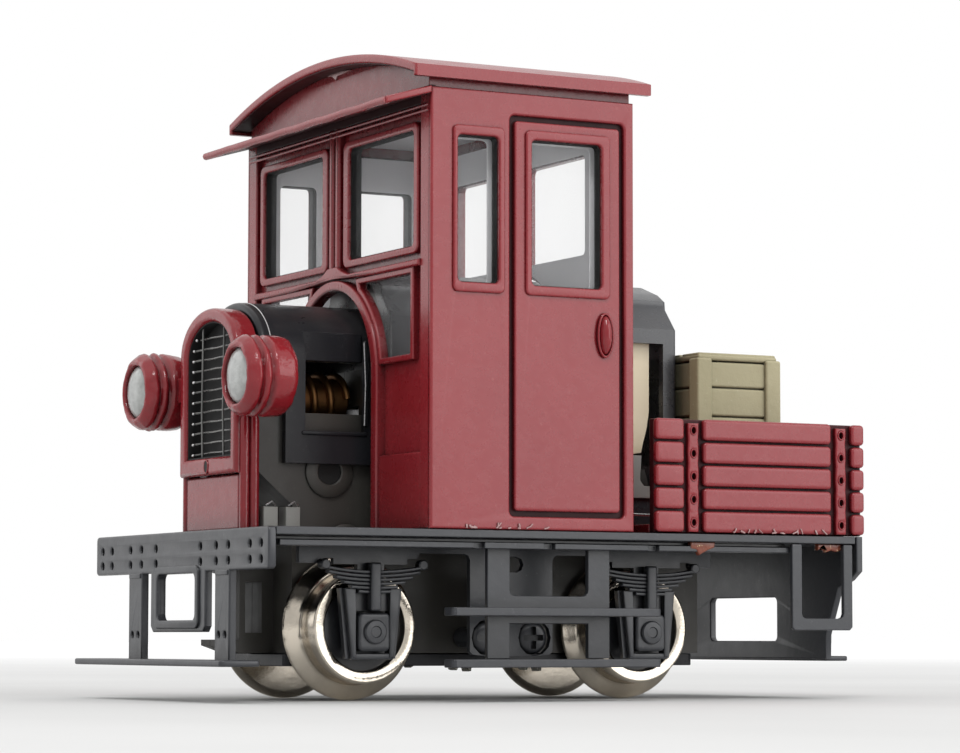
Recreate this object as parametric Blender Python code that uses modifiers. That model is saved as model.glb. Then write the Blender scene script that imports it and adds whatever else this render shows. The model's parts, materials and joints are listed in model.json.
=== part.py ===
"""Narrow-gauge model diesel locomotive, H0e scale, as separate solids.

Lengths are in millimetres in this file and turned to metres by MM. Positions are
measured from the front face of the front headstock (x, rearwards), the centre line
(y, positive to the far side) and the rail head (z). The root empty moves them so that
the origin lies under the middle of the model, level with the lowest wheel flange.
"""

import math

import bmesh
import bpy
from mathutils import Matrix

MM = 0.001
NAME = "model_diesel_locomotive"
FIT = 0.03  # clearance between pieces that touch
SIDES = (("near", -1), ("far", 1))

# Overall layout
FLANGE_DEPTH = 0.79
OVERALL_FRONT = -2.0
OVERALL_REAR = 35.7
ORIGIN_X = (OVERALL_FRONT + OVERALL_REAR) / 2
HALF_WIDTH = 11.2

# Frame
FOOTPLATE_TOP = 7.8
FOOTPLATE_THICK = 0.4
FOOTPLATE_BOTTOM = FOOTPLATE_TOP - FOOTPLATE_THICK
SHEET = 0.4
HEADSTOCK_FRONT_X = -0.15
HEADSTOCK_REAR_X = 34.15
HEADSTOCK_BOTTOM = 5.73
DECK = FOOTPLATE_TOP + FIT

# Running gear
AXLE_X = (7.71, 23.96)
MIDDLE_X = sum(AXLE_X) / 2
AXLE_Z = 2.94
TREAD_RADIUS = 2.94
FLANGE_RADIUS = TREAD_RADIUS + FLANGE_DEPTH
WHEEL_BACK = 3.7
WHEEL_FACE = 5.85
AXLE_RADIUS = 0.75
FRAME_INNER = 6.1
FRAME_OUTER = 6.45

# Drive
MODULE = 0.3
CHAIN_MODULE = 0.25
WORM_X = (5.4, 9.0)
WORM_PITCH_RADIUS = 1.4
SHAFT_RADIUS = 0.45
WORM_WHEEL_TEETH = 16
PINION_TEETH = 11
UPPER_IDLER_TEETH = 16
AXLE_UPPER_TEETH = 12
AXLE_CHAIN_TEETH = 14
CHAIN_TEETH = 17
CASE_HALF = 3.45
CASE_SCREW_REACH = 1.37
CASE_SCREW_Z = 2.42
CASE_SCREW_HEAD = 0.88
PIN_RADIUS = 0.5
PIN_HOLE = 0.57

# Cab
CAB_FRONT = 8.65
CAB_REAR = 20.42
CAB_WALL = 0.45
CAB_CORNERS = (0.25, 0.25, 0.5, 0.5)
WALL_TOP = 30.0
ROOF_CROWN = 32.78
ROOF_RADIUS = 38.4
ROOF_THICK = 0.45
ROOF_FRONT = 7.6
ROOF_REAR = 21.35
ROOF_HALF = 11.5
EAVE_BOTTOM = 30.42
VISOR_FRONT = 6.05
VISOR_LOW = 28.9
VISOR_HIGH = 29.65
VISOR_THICK = 0.36

ARCH_HALF = 4.75
ARCH_SPRING = 15.9

# Motor, its cover and the radiator
COVER_FRONT = 2.75
COVER_REAR = 27.3
COVER_STEP = 9.9
COVER_WALL = 0.4
RADIATOR_FRONT = 1.4
RADIATOR_HALF = 3.6
RADIATOR_BOTTOM = 10.75
RADIATOR_SPRING = 17.05
LAMP_Y = 6.55
LAMP_Z = 15.43

# Load bed and crate
BED_FRONT = 21.75
BED_REAR = 34.7
BED_TOP = 13.8
BED_WALL = 0.8


def clear_scene():
    for obj in list(bpy.data.objects):
        bpy.data.objects.remove(obj)


def material(name, colour, roughness, metallic=0.0, alpha=1.0):
    made = bpy.data.materials.get(name) or bpy.data.materials.new(name)
    made.use_nodes = True
    shader = made.node_tree.nodes["Principled BSDF"]
    shader.inputs["Base Color"].default_value = (*colour, 1.0)
    shader.inputs["Roughness"].default_value = roughness
    shader.inputs["Metallic"].default_value = metallic
    shader.inputs["Alpha"].default_value = alpha
    return made


clear_scene()
PARTS = bpy.data.collections.new(NAME)
CUTTERS = bpy.data.collections.new("cutters")
bpy.context.scene.collection.children.link(PARTS)
bpy.context.scene.collection.children.link(CUTTERS)

ROOT = bpy.data.objects.new("loco_frame", None)
ROOT.location = (-ORIGIN_X * MM, 0.0, FLANGE_DEPTH * MM)
PARTS.objects.link(ROOT)

RED = material("maroon_paint", (0.28, 0.05, 0.06), 0.45)
BLACK = material("satin_black", (0.025, 0.027, 0.032), 0.45)
COVER_BLACK = material("cover_black", (0.03, 0.03, 0.034), 0.4)
CASE_GREY = material("smoked_nylon", (0.12, 0.115, 0.10), 0.5)
NICKEL = material("nickel_brass", (0.62, 0.53, 0.42), 0.2, 1.0)
STEEL = material("bright_steel", (0.6, 0.6, 0.6), 0.25, 1.0)
BRASS = material("worm_brass", (0.45, 0.24, 0.1), 0.35, 1.0)
NYLON = material("white_nylon", (0.7, 0.68, 0.62), 0.5)
MAGNET = material("ferrite", (0.05, 0.05, 0.05), 0.6)
COPPER = material("winding_copper", (0.5, 0.2, 0.1), 0.35, 1.0)
LENS = material("frosted_lens", (0.6, 0.62, 0.6), 0.25)
CLEAR = material("clear_styrene", (0.8, 0.82, 0.84), 0.1, alpha=0.3)
CRATE = material("crate_drab", (0.4, 0.36, 0.22), 0.6)


# ---------------------------------------------------------------- helpers

def add_object(name, data, look, location=(0, 0, 0), rotation=(0, 0, 0)):
    """A part of the model under the root empty, its location in millimetres."""
    obj = bpy.data.objects.new(name, data)
    PARTS.objects.link(obj)
    obj.parent = ROOT
    obj.location = [value * MM for value in location]
    obj.rotation_euler = rotation
    if look:
        data.materials.append(look)
    return obj


def as_cutter(obj):
    """Moves a helper solid to the cutters' collection, out of sight of the build."""
    PARTS.objects.unlink(obj)
    CUTTERS.objects.link(obj)
    obj.hide_render = True
    obj.display_type = "WIRE"
    return obj


def boolean(obj, other, operation, solver="EXACT"):
    modifier = obj.modifiers.new(f"{operation.lower()}_{other.name}", "BOOLEAN")
    modifier.operation = operation
    modifier.object = as_cutter(other)
    modifier.solver = solver
    return obj


def cut(obj, other):
    return boolean(obj, other, "DIFFERENCE")


def join(obj, other, solver="EXACT"):
    return boolean(obj, other, "UNION", solver)


def soften(obj, width, segments=1, angle=50):
    """Rounds the sharp edges of a part by a bevel of the given width."""
    bevel = obj.modifiers.new("soft_edges", "BEVEL")
    bevel.width = width * MM
    bevel.segments = segments
    bevel.limit_method = "ANGLE"
    bevel.angle_limit = math.radians(angle)
    return obj


def box(name, x, y, z, look=None):
    """A block between the given pairs of x, y and z."""
    mesh = bpy.data.meshes.new(name)
    shape = bmesh.new()
    bmesh.ops.create_cube(shape, size=1.0)
    size = [(high - low) * MM for low, high in (x, y, z)]
    bmesh.ops.scale(shape, vec=size, verts=shape.verts)
    shape.to_mesh(mesh)
    shape.free()
    middle = [(low + high) / 2 for low, high in (x, y, z)]
    return add_object(name, mesh, look, middle)


def rod(name, radius, start, end, axis, look=None, sides=24):
    """A round bar along x, y or z; start is its first end and end the last coordinate."""
    length = end - start["xyz".index(axis)]
    mesh = bpy.data.meshes.new(name)
    shape = bmesh.new()
    bmesh.ops.create_cone(shape, cap_ends=True, segments=sides, radius1=radius * MM,
                          radius2=radius * MM, depth=abs(length) * MM)
    turn = {"x": Matrix.Rotation(math.pi / 2, 3, "Y"), "y": Matrix.Rotation(math.pi / 2, 3, "X"),
            "z": Matrix.Identity(3)}[axis]
    bmesh.ops.rotate(shape, verts=shape.verts, matrix=turn)
    shape.to_mesh(mesh)
    shape.free()
    mesh.shade_smooth()
    mesh.set_sharp_from_angle(angle=math.radians(40))
    middle = list(start)
    middle["xyz".index(axis)] += length / 2
    return add_object(name, mesh, look, middle)


def weld(mesh):
    """Joins a converted curve's caps to its walls, with the faces all pointing out."""
    shape = bmesh.new()
    shape.from_mesh(mesh)
    bmesh.ops.remove_doubles(shape, verts=shape.verts, dist=1e-7)
    bmesh.ops.recalc_face_normals(shape, faces=shape.faces)
    for face in shape.faces:
        face.smooth = False
    shape.to_mesh(mesh)
    shape.free()


# A plate's outline is drawn in two coordinates: x and z for a side plate, y and z for
# an end plate, x and y for a flat one. Its thickness runs along the third.
FACINGS = {
    "side": (math.pi / 2, 0.0, 0.0),
    "end": (math.pi / 2, 0.0, math.pi / 2),
    "flat": (0.0, 0.0, 0.0),
}


def plate(name, loops, facing, low, high, look=None):
    """A sheet cut to the outline loops[0] with the other loops as holes."""
    curve = bpy.data.curves.new(name, "CURVE")
    curve.dimensions = "2D"
    curve.fill_mode = "BOTH"
    curve.extrude = (high - low) / 2 * MM
    for loop in loops:
        spline = curve.splines.new("POLY")
        spline.points.add(len(loop) - 1)
        for point, (u, v) in zip(spline.points, loop):
            point.co = (u * MM, v * MM, 0.0, 1.0)
        spline.use_cyclic_u = True
    drawn = bpy.data.objects.new(name, curve)
    PARTS.objects.link(drawn)
    view = bpy.context.evaluated_depsgraph_get()
    mesh = bpy.data.meshes.new_from_object(drawn.evaluated_get(view))
    bpy.data.objects.remove(drawn)
    bpy.data.curves.remove(curve)
    weld(mesh)
    mesh.name = name
    middle = (low + high) / 2
    location = {"side": (0, middle, 0), "end": (middle, 0, 0), "flat": (0, 0, middle)}[facing]
    return add_object(name, mesh, look, location, FACINGS[facing])


def arc(u, v, radius, start, end, steps, radius_v=None):
    """Points on a circle, or on an ellipse with radius_v, between two angles in degrees."""
    tall = radius if radius_v is None else radius_v
    angles = [math.radians(start + (end - start) * i / steps) for i in range(steps + 1)]
    return [(u + radius * math.cos(a), v + tall * math.sin(a)) for a in angles]


def circle(u, v, radius, sides=12):
    return arc(u, v, radius, 0, 360 - 360 / sides, sides - 1)


def rectangle(u, v, corner=0.0, steps=3):
    """A rectangle between the pairs u and v, its corners rounded by one radius or by four."""
    if not corner:
        return [(u[0], v[0]), (u[1], v[0]), (u[1], v[1]), (u[0], v[1])]
    radii = corner if isinstance(corner, tuple) else (corner,) * 4
    points = []
    for radius, at_u, at_v, start in zip(radii, (1, 1, 0, 0), (0, 1, 1, 0), (-90, 0, 90, 180)):
        centre_u = u[at_u] + (radius if at_u == 0 else -radius)
        centre_v = v[at_v] + (radius if at_v == 0 else -radius)
        points += arc(centre_u, centre_v, radius, start, start + 90, steps)
    return points


def mirrored(points, about=0.0):
    """The points, then their mirror image in reverse, for an outline symmetric in u."""
    return points + [(2 * about - u, v) for u, v in reversed(points)]


def arch(half, spring, rise, bottom, steps=14):
    """A doorway outline: straight sides up to spring, then half an ellipse."""
    return [(half, bottom)] + arc(0, spring, half, 0, 180, steps, rise) + [(-half, bottom)]


def turned(name, profile, axis, location, look, steps=32):
    """A solid of revolution: profile points are (radius, distance along the axis)."""
    mesh = bpy.data.meshes.new(name)
    ring = list(zip(profile, profile[1:] + profile[:1]))
    turning = sum(a[0] * b[1] - b[0] * a[1] for a, b in ring)
    ordered = profile[::-1] if turning > 0 else profile
    verts = [(radius * MM, 0.0, along * MM) for radius, along in ordered]
    edges = [(i, (i + 1) % len(profile)) for i in range(len(profile))]
    if profile[0][0] == 0 and profile[-1][0] == 0:
        edges.pop()
    mesh.from_pydata(verts, edges, [])
    turn = {"x": (0.0, math.pi / 2, 0.0), "-x": (0.0, -math.pi / 2, 0.0),
            "y": (-math.pi / 2, 0.0, 0.0), "-y": (math.pi / 2, 0.0, 0.0), "z": (0, 0, 0)}[axis]
    obj = add_object(name, mesh, look, location, turn)
    screw = obj.modifiers.new("turn", "SCREW")
    screw.steps = steps
    screw.render_steps = steps
    screw.use_merge_vertices = True
    screw.merge_threshold = 1e-7
    screw.use_smooth_shade = True
    return obj


def gear_outline(teeth, module, phase=0.0, share=0.36, add=0.75, root=1.1):
    """A spur gear's outline, with its first tooth at the angle phase in degrees."""
    pitch = teeth * module / 2
    outer = pitch + add * module
    inner = pitch - root * module
    points = []
    for tooth in range(teeth):
        middle = math.radians(phase) + tooth * 2 * math.pi / teeth
        foot = 2 * math.pi / teeth * share * 0.75
        tip = 2 * math.pi / teeth * share * 0.28
        for angle, radius in ((-foot, inner), (-tip, outer), (tip, outer), (foot, inner)):
            points.append((radius * math.cos(middle + angle), radius * math.sin(middle + angle)))
    return points


# ---------------------------------------------------------------- frame

def make_footplate():
    outer = rectangle((HEADSTOCK_FRONT_X + SHEET + FIT, HEADSTOCK_REAR_X - FIT), (-11.15, 11.15))
    slot = rectangle((3.0, 28.7), (-5.0, 5.0), 0.5)
    plate("footplate", [outer, slot], "flat", FOOTPLATE_BOTTOM, FOOTPLATE_TOP, BLACK)


def make_front_headstock():
    """Bolted buffer plate with two legs, a coupling pocket frame and a step board."""
    leg_bottom = 1.1
    right = [(0, 2.68), (3.25, 2.68), (3.55, 2.98), (3.55, HEADSTOCK_BOTTOM),
             (4.75, HEADSTOCK_BOTTOM), (4.75, leg_bottom), (6.55, leg_bottom),
             (6.55, HEADSTOCK_BOTTOM), (HALF_WIDTH - 0.15, HEADSTOCK_BOTTOM),
             (HALF_WIDTH, HEADSTOCK_BOTTOM + 0.15), (HALF_WIDTH, FOOTPLATE_TOP - 0.1),
             (HALF_WIDTH - 0.1, FOOTPLATE_TOP)]
    outline = mirrored(right[1:])
    loops = [outline, rectangle((-2.45, 2.45), (3.28, 5.65), 0.3)]
    for side in (-1, 1):
        for y in (10.3, 8.98, 6.37, 4.87, 2.9):
            for z in (7.0, 6.22):
                loops.append(circle(side * y, z, 0.19, 6))
        for y in (5.25, 6.02):
            loops.append(circle(side * y, 2.54, 0.17, 6))
    made = plate("headstock_front", loops, "end", HEADSTOCK_FRONT_X, HEADSTOCK_FRONT_X + SHEET, BLACK)
    board = rectangle((OVERALL_FRONT, HEADSTOCK_FRONT_X + SHEET - 0.1), (-9.7, 9.7), 0.25, 2)
    join(made, plate("front_board", [board], "flat", 0.98, 1.28), "MANIFOLD")


def make_rear_headstock():
    """Rear plate with a tapered apron, a window and a foot board."""
    right = [(8.2, 1.3), (8.25, 2.6), (9.4, 5.1), (10.5, 5.5), (HALF_WIDTH, 5.95),
             (HALF_WIDTH, FOOTPLATE_TOP)]
    window = rectangle((-3.42, 3.42), (2.27, 4.66), 0.3)
    made = plate("headstock_rear", [mirrored(right), window], "end", HEADSTOCK_REAR_X,
                 HEADSTOCK_REAR_X + SHEET, BLACK)
    board = rectangle((HEADSTOCK_REAR_X + 0.1, OVERALL_REAR), (-8.15, 8.15), 0.25, 2)
    join(made, plate("rear_board", [board], "flat", 1.2, 1.45))


def make_sole_bars():
    """Angle under each footplate edge, its lip notched in three places."""
    front, rear = 0.6, 30.2
    notches = (11.3, 15.35, 21.5)
    notch = 0.6
    for name, side in SIDES:
        web = sorted((side * 10.15, side * 10.4))
        made = box(f"sole_bar_{name}", (front, rear), web, (6.88, FOOTPLATE_BOTTOM - FIT), BLACK)
        outline = [(front, 10.3), (front, 10.85)]
        for x in notches:
            outline += [(x, 10.85), (x, 10.5), (x + notch, 10.5), (x + notch, 10.85)]
        outline += [(rear, 10.85), (rear, 10.3)]
        join(made, plate(f"lip_{name}", [[(x, side * y) for x, y in outline]], "flat", 6.88, 7.18))


def make_side_steps():
    """A leg frame on each side with two boards that run along it."""
    legs = ((12.45, 13.72), (18.3, 19.57))
    for name, side in SIDES:
        outline = [(legs[0][0], 1.35), (legs[0][1], 1.35), (legs[0][1], 3.12), (legs[1][0], 3.12),
                   (legs[1][0], 1.35), (legs[1][1], 1.35), (legs[1][1], FOOTPLATE_BOTTOM - FIT),
                   (legs[1][0], FOOTPLATE_BOTTOM - FIT)]
        outline += arc(legs[1][0] - 0.3, 4.82, 0.3, 0, -90, 3)
        outline += arc(legs[0][1] + 0.3, 4.82, 0.3, -90, -180, 3)
        outline += [(legs[0][1], FOOTPLATE_BOTTOM - FIT), (legs[0][0], FOOTPLATE_BOTTOM - FIT)]
        low, high = sorted((side * 10.44, side * 10.74))
        made = plate(f"step_frame_{name}", [outline], "side", low, high, BLACK)
        made.location.y = side * 9.97 * MM
        edge = sorted((side * 10.16, side * 11.3))
        for board, z in (("upper", 3.5), ("lower", 0.92)):
            outline = rectangle((9.9, 22.0), edge, 0.2, 2)
            plate(f"step_board_{board}_{name}", [outline], "flat", z, z + 0.42, BLACK)


def make_rear_steps():
    """U-shaped stirrup under each rear corner."""
    for name, side in SIDES:
        outline = [(30.1, 7.35), (30.1, 2.98), (30.25, 2.83), (33.75, 2.83), (33.9, 2.98),
                   (33.9, 7.35), (33.35, 7.35)]
        outline += arc(33.1, 3.7, 0.25, 0, -90, 2) + arc(30.95, 3.7, 0.25, -90, -180, 2)
        outline += [(30.7, 7.35)]
        low, high = sorted((side * 10.87, side * 11.15))
        plate(f"rear_step_{name}", [outline], "side", low, high, BLACK)


def make_side_frames():
    """Flat frame with a central panel and a horn guide around each axlebox."""
    top = FOOTPLATE_BOTTOM - FIT
    half = [(3.7, top), (3.7, 6.15), (5.05, 6.15), (5.05, 6.4), (5.6, 6.4), (5.6, 6.1)]
    half += [(6.95, 6.1), (6.95, 4.9), (5.95, 4.9), (6.3, 1.35), (9.12, 1.35), (9.47, 4.9),
             (8.47, 4.9), (8.47, 6.1), (9.8, 6.1), (9.8, 6.4), (10.35, 6.4), (10.5, 6.7)]
    half += arc(13.1, 6.4, 0.3, 90, 0, 2) + [(13.4, 1.7), (13.55, 1.55)]
    outline = mirrored(half, MIDDLE_X)
    holes = [rectangle((MIDDLE_X - 0.8, MIDDLE_X + 0.7), (5.8, 6.6), 0.39, 2)]
    holes += [circle(MIDDLE_X + side * CASE_SCREW_REACH, CASE_SCREW_Z, 0.96, 12) for side in (-1, 1)]
    holes += [rectangle((x - 0.97, x + 0.97), (1.62, 3.75)) for x in AXLE_X]
    for name, side in SIDES:
        low, high = sorted((side * FRAME_INNER, side * FRAME_OUTER))
        plate(f"side_frame_{name}", [outline] + holes, "side", low, high, BLACK)


def make_springs():
    """Leaf pack with its buckle over each axlebox."""
    leaves = 5
    pack_top = 6.05
    for name, side in SIDES:
        for end, x in zip(("front", "rear"), AXLE_X):
            outline = [(3.0, pack_top), (3.0, pack_top - 0.15)]
            for leaf in range(1, leaves):
                reach = 3.0 - 0.5 * leaf
                drop = pack_top - 0.24 * leaf
                outline += [(reach, drop + 0.02), (reach, drop - 0.22)]
            outline = [(u, v - 0.25 * (1 - (u / 3.0) ** 2)) for u, v in outline]
            top = [(u, pack_top - 0.25 * (1 - (u / 3.0) ** 2)) for u in (-2.0, -1.0, 0.0, 1.0, 2.0)]
            low, high = sorted((side * (FRAME_OUTER + FIT), side * 6.98))
            made = plate(f"spring_{end}_{name}", [mirrored(outline) + top], "side", low, high, BLACK)
            made.location.x = x * MM
            depth = sorted((side * 6.6, side * 7.12))
            join(made, box(f"buckle_{end}_{name}", (x - 0.29, x + 0.29), depth, (3.8, 6.2)))


def make_axleboxes():
    for name, side in SIDES:
        for end, x in zip(("front", "rear"), AXLE_X):
            depth = sorted((side * (FRAME_INNER + 0.02), side * 6.95))
            body = box(f"axlebox_{end}_{name}", (x - 0.88, x + 0.88), depth, (1.72, 3.66), BLACK)
            soften(body, 0.18)
            cover = rod(f"cover_{end}_{name}", 0.57, (x, side * 6.8, 2.7), side * 7.12, "y", sides=16)
            join(body, cover)


# ---------------------------------------------------------------- running gear

def make_wheels():
    """Four plain disc wheels, each with a flange and a recessed centre."""
    width = WHEEL_FACE - WHEEL_BACK
    bore = AXLE_RADIUS + 0.02
    profile = [(bore, 0.0), (FLANGE_RADIUS - 0.12, 0.0), (FLANGE_RADIUS, 0.2), (TREAD_RADIUS, 0.58),
               (TREAD_RADIUS - 0.06, width - 0.1), (TREAD_RADIUS - 0.16, width), (2.3, width),
               (2.2, 1.55), (bore, 1.55)]
    for end, x in zip(("front", "rear"), AXLE_X):
        for name, side in SIDES:
            axis = "y" if side > 0 else "-y"
            turned(f"wheel_{end}_{name}", profile, axis, (x, side * WHEEL_BACK, AXLE_Z), NICKEL, 32)


def shafted_gear(name, outlines, x, z, half_shaft, shaft_radius, look, sides=10):
    """Gears side by side on one shaft along y; outlines holds (outline, low, high)."""
    first, low, high = outlines[0]
    made = plate(name, [first], "side", low, high, look)
    made.location.x = x * MM
    made.location.z = z * MM
    for number, (outline, start, stop) in enumerate(outlines[1:]):
        extra = plate(f"{name}_row_{number}", [outline], "side", start, stop)
        extra.location.x = x * MM
        extra.location.z = z * MM
        join(made, extra)
    join(made, rod(f"{name}_shaft", shaft_radius, (x, -half_shaft, z), half_shaft, "y", sides=sides))
    return made


def bearing(start, end):
    """The direction in degrees, in the x and z plane, from one gear centre to another."""
    return math.degrees(math.atan2(end[1] - start[1], end[0] - start[0]))


def meshing_phase(angle, driver_teeth, driver_phase, teeth):
    """The phase that puts a gap where the driver, seen at the given angle, has a tooth."""
    driver_offset = (angle - driver_phase) / (360 / driver_teeth)
    own_offset = 0.5 + driver_offset
    return angle + 180 + own_offset * 360 / teeth


def gear_centres():
    """Centres of the upper gears over the front axle, from their pitch radii."""
    front = (AXLE_X[0], AXLE_Z)
    idler = (front[0], front[1] + (AXLE_UPPER_TEETH + UPPER_IDLER_TEETH) * MODULE / 2)
    reach = (UPPER_IDLER_TEETH + PINION_TEETH) * MODULE / 2
    lean = math.radians(104)
    worm_gear = (idler[0] + reach * math.cos(lean), idler[1] + reach * math.sin(lean))
    return front, idler, worm_gear


def make_gears():
    front, idler, worm_gear = gear_centres()
    idler_phase = meshing_phase(bearing(front, idler), AXLE_UPPER_TEETH, 0.0, UPPER_IDLER_TEETH)
    pinion_phase = meshing_phase(bearing(idler, worm_gear), UPPER_IDLER_TEETH, idler_phase,
                                 PINION_TEETH)
    upper_row = (0.5, 1.35)
    worm_row = (-0.4, 0.4)
    chain_row = (-1.5, -0.7)

    wheel = gear_outline(WORM_WHEEL_TEETH, MODULE, 90.0)
    pinion = gear_outline(PINION_TEETH, MODULE, pinion_phase)
    shafted_gear("worm_gear", [(wheel, *worm_row), (pinion, 0.3, upper_row[1])],
                 *worm_gear, CASE_HALF - 0.3, PIN_RADIUS, NYLON)
    outline = gear_outline(UPPER_IDLER_TEETH, MODULE, idler_phase)
    shafted_gear("idler_upper", [(outline, *upper_row)], *idler, CASE_HALF - 0.3, PIN_RADIUS, NYLON)

    chain = [AXLE_CHAIN_TEETH, CHAIN_TEETH, CHAIN_TEETH, CHAIN_TEETH, AXLE_CHAIN_TEETH]
    outlines = [gear_outline(chain[0], CHAIN_MODULE, 0.0)]
    centres = [AXLE_X[0]]
    phase = 0.0
    for driver, driven in zip(chain, chain[1:]):
        phase = meshing_phase(0.0, driver, phase, driven)
        outlines.append(gear_outline(driven, CHAIN_MODULE, phase))
        centres.append(centres[-1] + (driver + driven) * CHAIN_MODULE / 2)
    for number in (1, 2, 3):
        shafted_gear(f"idler_chain_{number}", [(outlines[number], *chain_row)],
                     centres[number], AXLE_Z, 2.6, 0.45, NYLON)

    half_axle = WHEEL_BACK + 2.0
    upper_gear = gear_outline(AXLE_UPPER_TEETH, MODULE, 0.0)
    shafted_gear("axle_front", [(upper_gear, *upper_row), (outlines[0], *chain_row)],
                 *front, half_axle, AXLE_RADIUS, STEEL, 20)
    shafted_gear("axle_rear", [(outlines[4], *chain_row)], centres[4], AXLE_Z, half_axle,
                 AXLE_RADIUS, STEEL, 20)


def worm_axis_z():
    """The motor shaft's height, one worm centre distance over the worm wheel."""
    return gear_centres()[2][1] + WORM_WHEEL_TEETH * MODULE / 2 + WORM_PITCH_RADIUS


def make_worm():
    """Single-start worm: a core with a helical thread wound round it."""
    pitch = math.pi * MODULE
    wheel_x = gear_centres()[2][0]
    shaft_z = worm_axis_z()
    core = WORM_PITCH_RADIUS - 0.95 * MODULE
    body = turned("worm", [(SHAFT_RADIUS + FIT, WORM_X[0]), (core, WORM_X[0]), (core, WORM_X[1]),
                           (SHAFT_RADIUS + FIT, WORM_X[1])], "x", (0, 0, shaft_z), BRASS, 16)
    points_per_turn = 10
    turns = 3.5
    thread_radius = 0.22
    curve = bpy.data.curves.new("worm_thread", "CURVE")
    curve.dimensions = "3D"
    curve.bevel_depth = thread_radius * MM
    curve.bevel_resolution = 0
    curve.use_fill_caps = True
    count = int(turns * points_per_turn) + 1
    spline = curve.splines.new("POLY")
    spline.points.add(count - 1)
    first_x = wheel_x + pitch / 2 - turns / 2 * pitch
    for number, point in enumerate(spline.points):
        turn = number / points_per_turn
        angle = 2 * math.pi * (turn - turns / 2 - 0.25)
        x = first_x + turn * pitch
        y = (core + 0.14) * math.cos(angle)
        z = shaft_z + (core + 0.14) * math.sin(angle)
        point.co = (x * MM, y * MM, z * MM, 1.0)
    drawn = bpy.data.objects.new("worm_thread", curve)
    PARTS.objects.link(drawn)
    view = bpy.context.evaluated_depsgraph_get()
    mesh = bpy.data.meshes.new_from_object(drawn.evaluated_get(view))
    bpy.data.objects.remove(drawn)
    weld(mesh)
    join(body, add_object("worm_thread", mesh, None))


def make_motor():
    """Round can motor: can, two magnets, end cap and the rotor with its flywheel."""
    shaft_z = worm_axis_z()
    can, wall, bore = 3.15, 0.3, SHAFT_RADIUS + 0.15
    front, rear = 11.2, 21.6
    turned("motor_can", [(bore, front), (can, front), (can, rear), (can - wall, rear),
                         (can - wall, front + wall), (bore, front + wall)],
           "x", (0, 0, shaft_z), STEEL, 16)
    plug = can - wall - 0.05
    turned("motor_end_cap", [(bore, rear - 0.7), (plug, rear - 0.7), (plug, rear + FIT),
                             (can, rear + FIT), (can, rear + 0.5), (bore, rear + 0.5)],
           "x", (0, 0, shaft_z), COVER_BLACK, 16)
    armature, magnet_inner, magnet_outer = 1.9, 2.1, 2.78
    for name, side in SIDES:
        middle = 90 - side * 90
        outline = arc(0, shaft_z, magnet_outer, middle - 55, middle + 55, 6)
        outline += arc(0, shaft_z, magnet_inner, middle + 55, middle - 55, 6)
        plate(f"motor_magnet_{name}", [outline], "end", 12.4, 19.6, MAGNET)
    profile = [(0, 3.2), (SHAFT_RADIUS, 3.2), (SHAFT_RADIUS, 13.0), (armature, 13.0),
               (armature, 19.0), (1.0, 19.0), (1.0, 20.4), (SHAFT_RADIUS, 20.4),
               (SHAFT_RADIUS, 23.2), (2.9, 23.2), (2.9, 26.1), (0, 26.1)]
    turned("motor_rotor", profile, "x", (0, 0, shaft_z), STEEL, 16)


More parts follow.
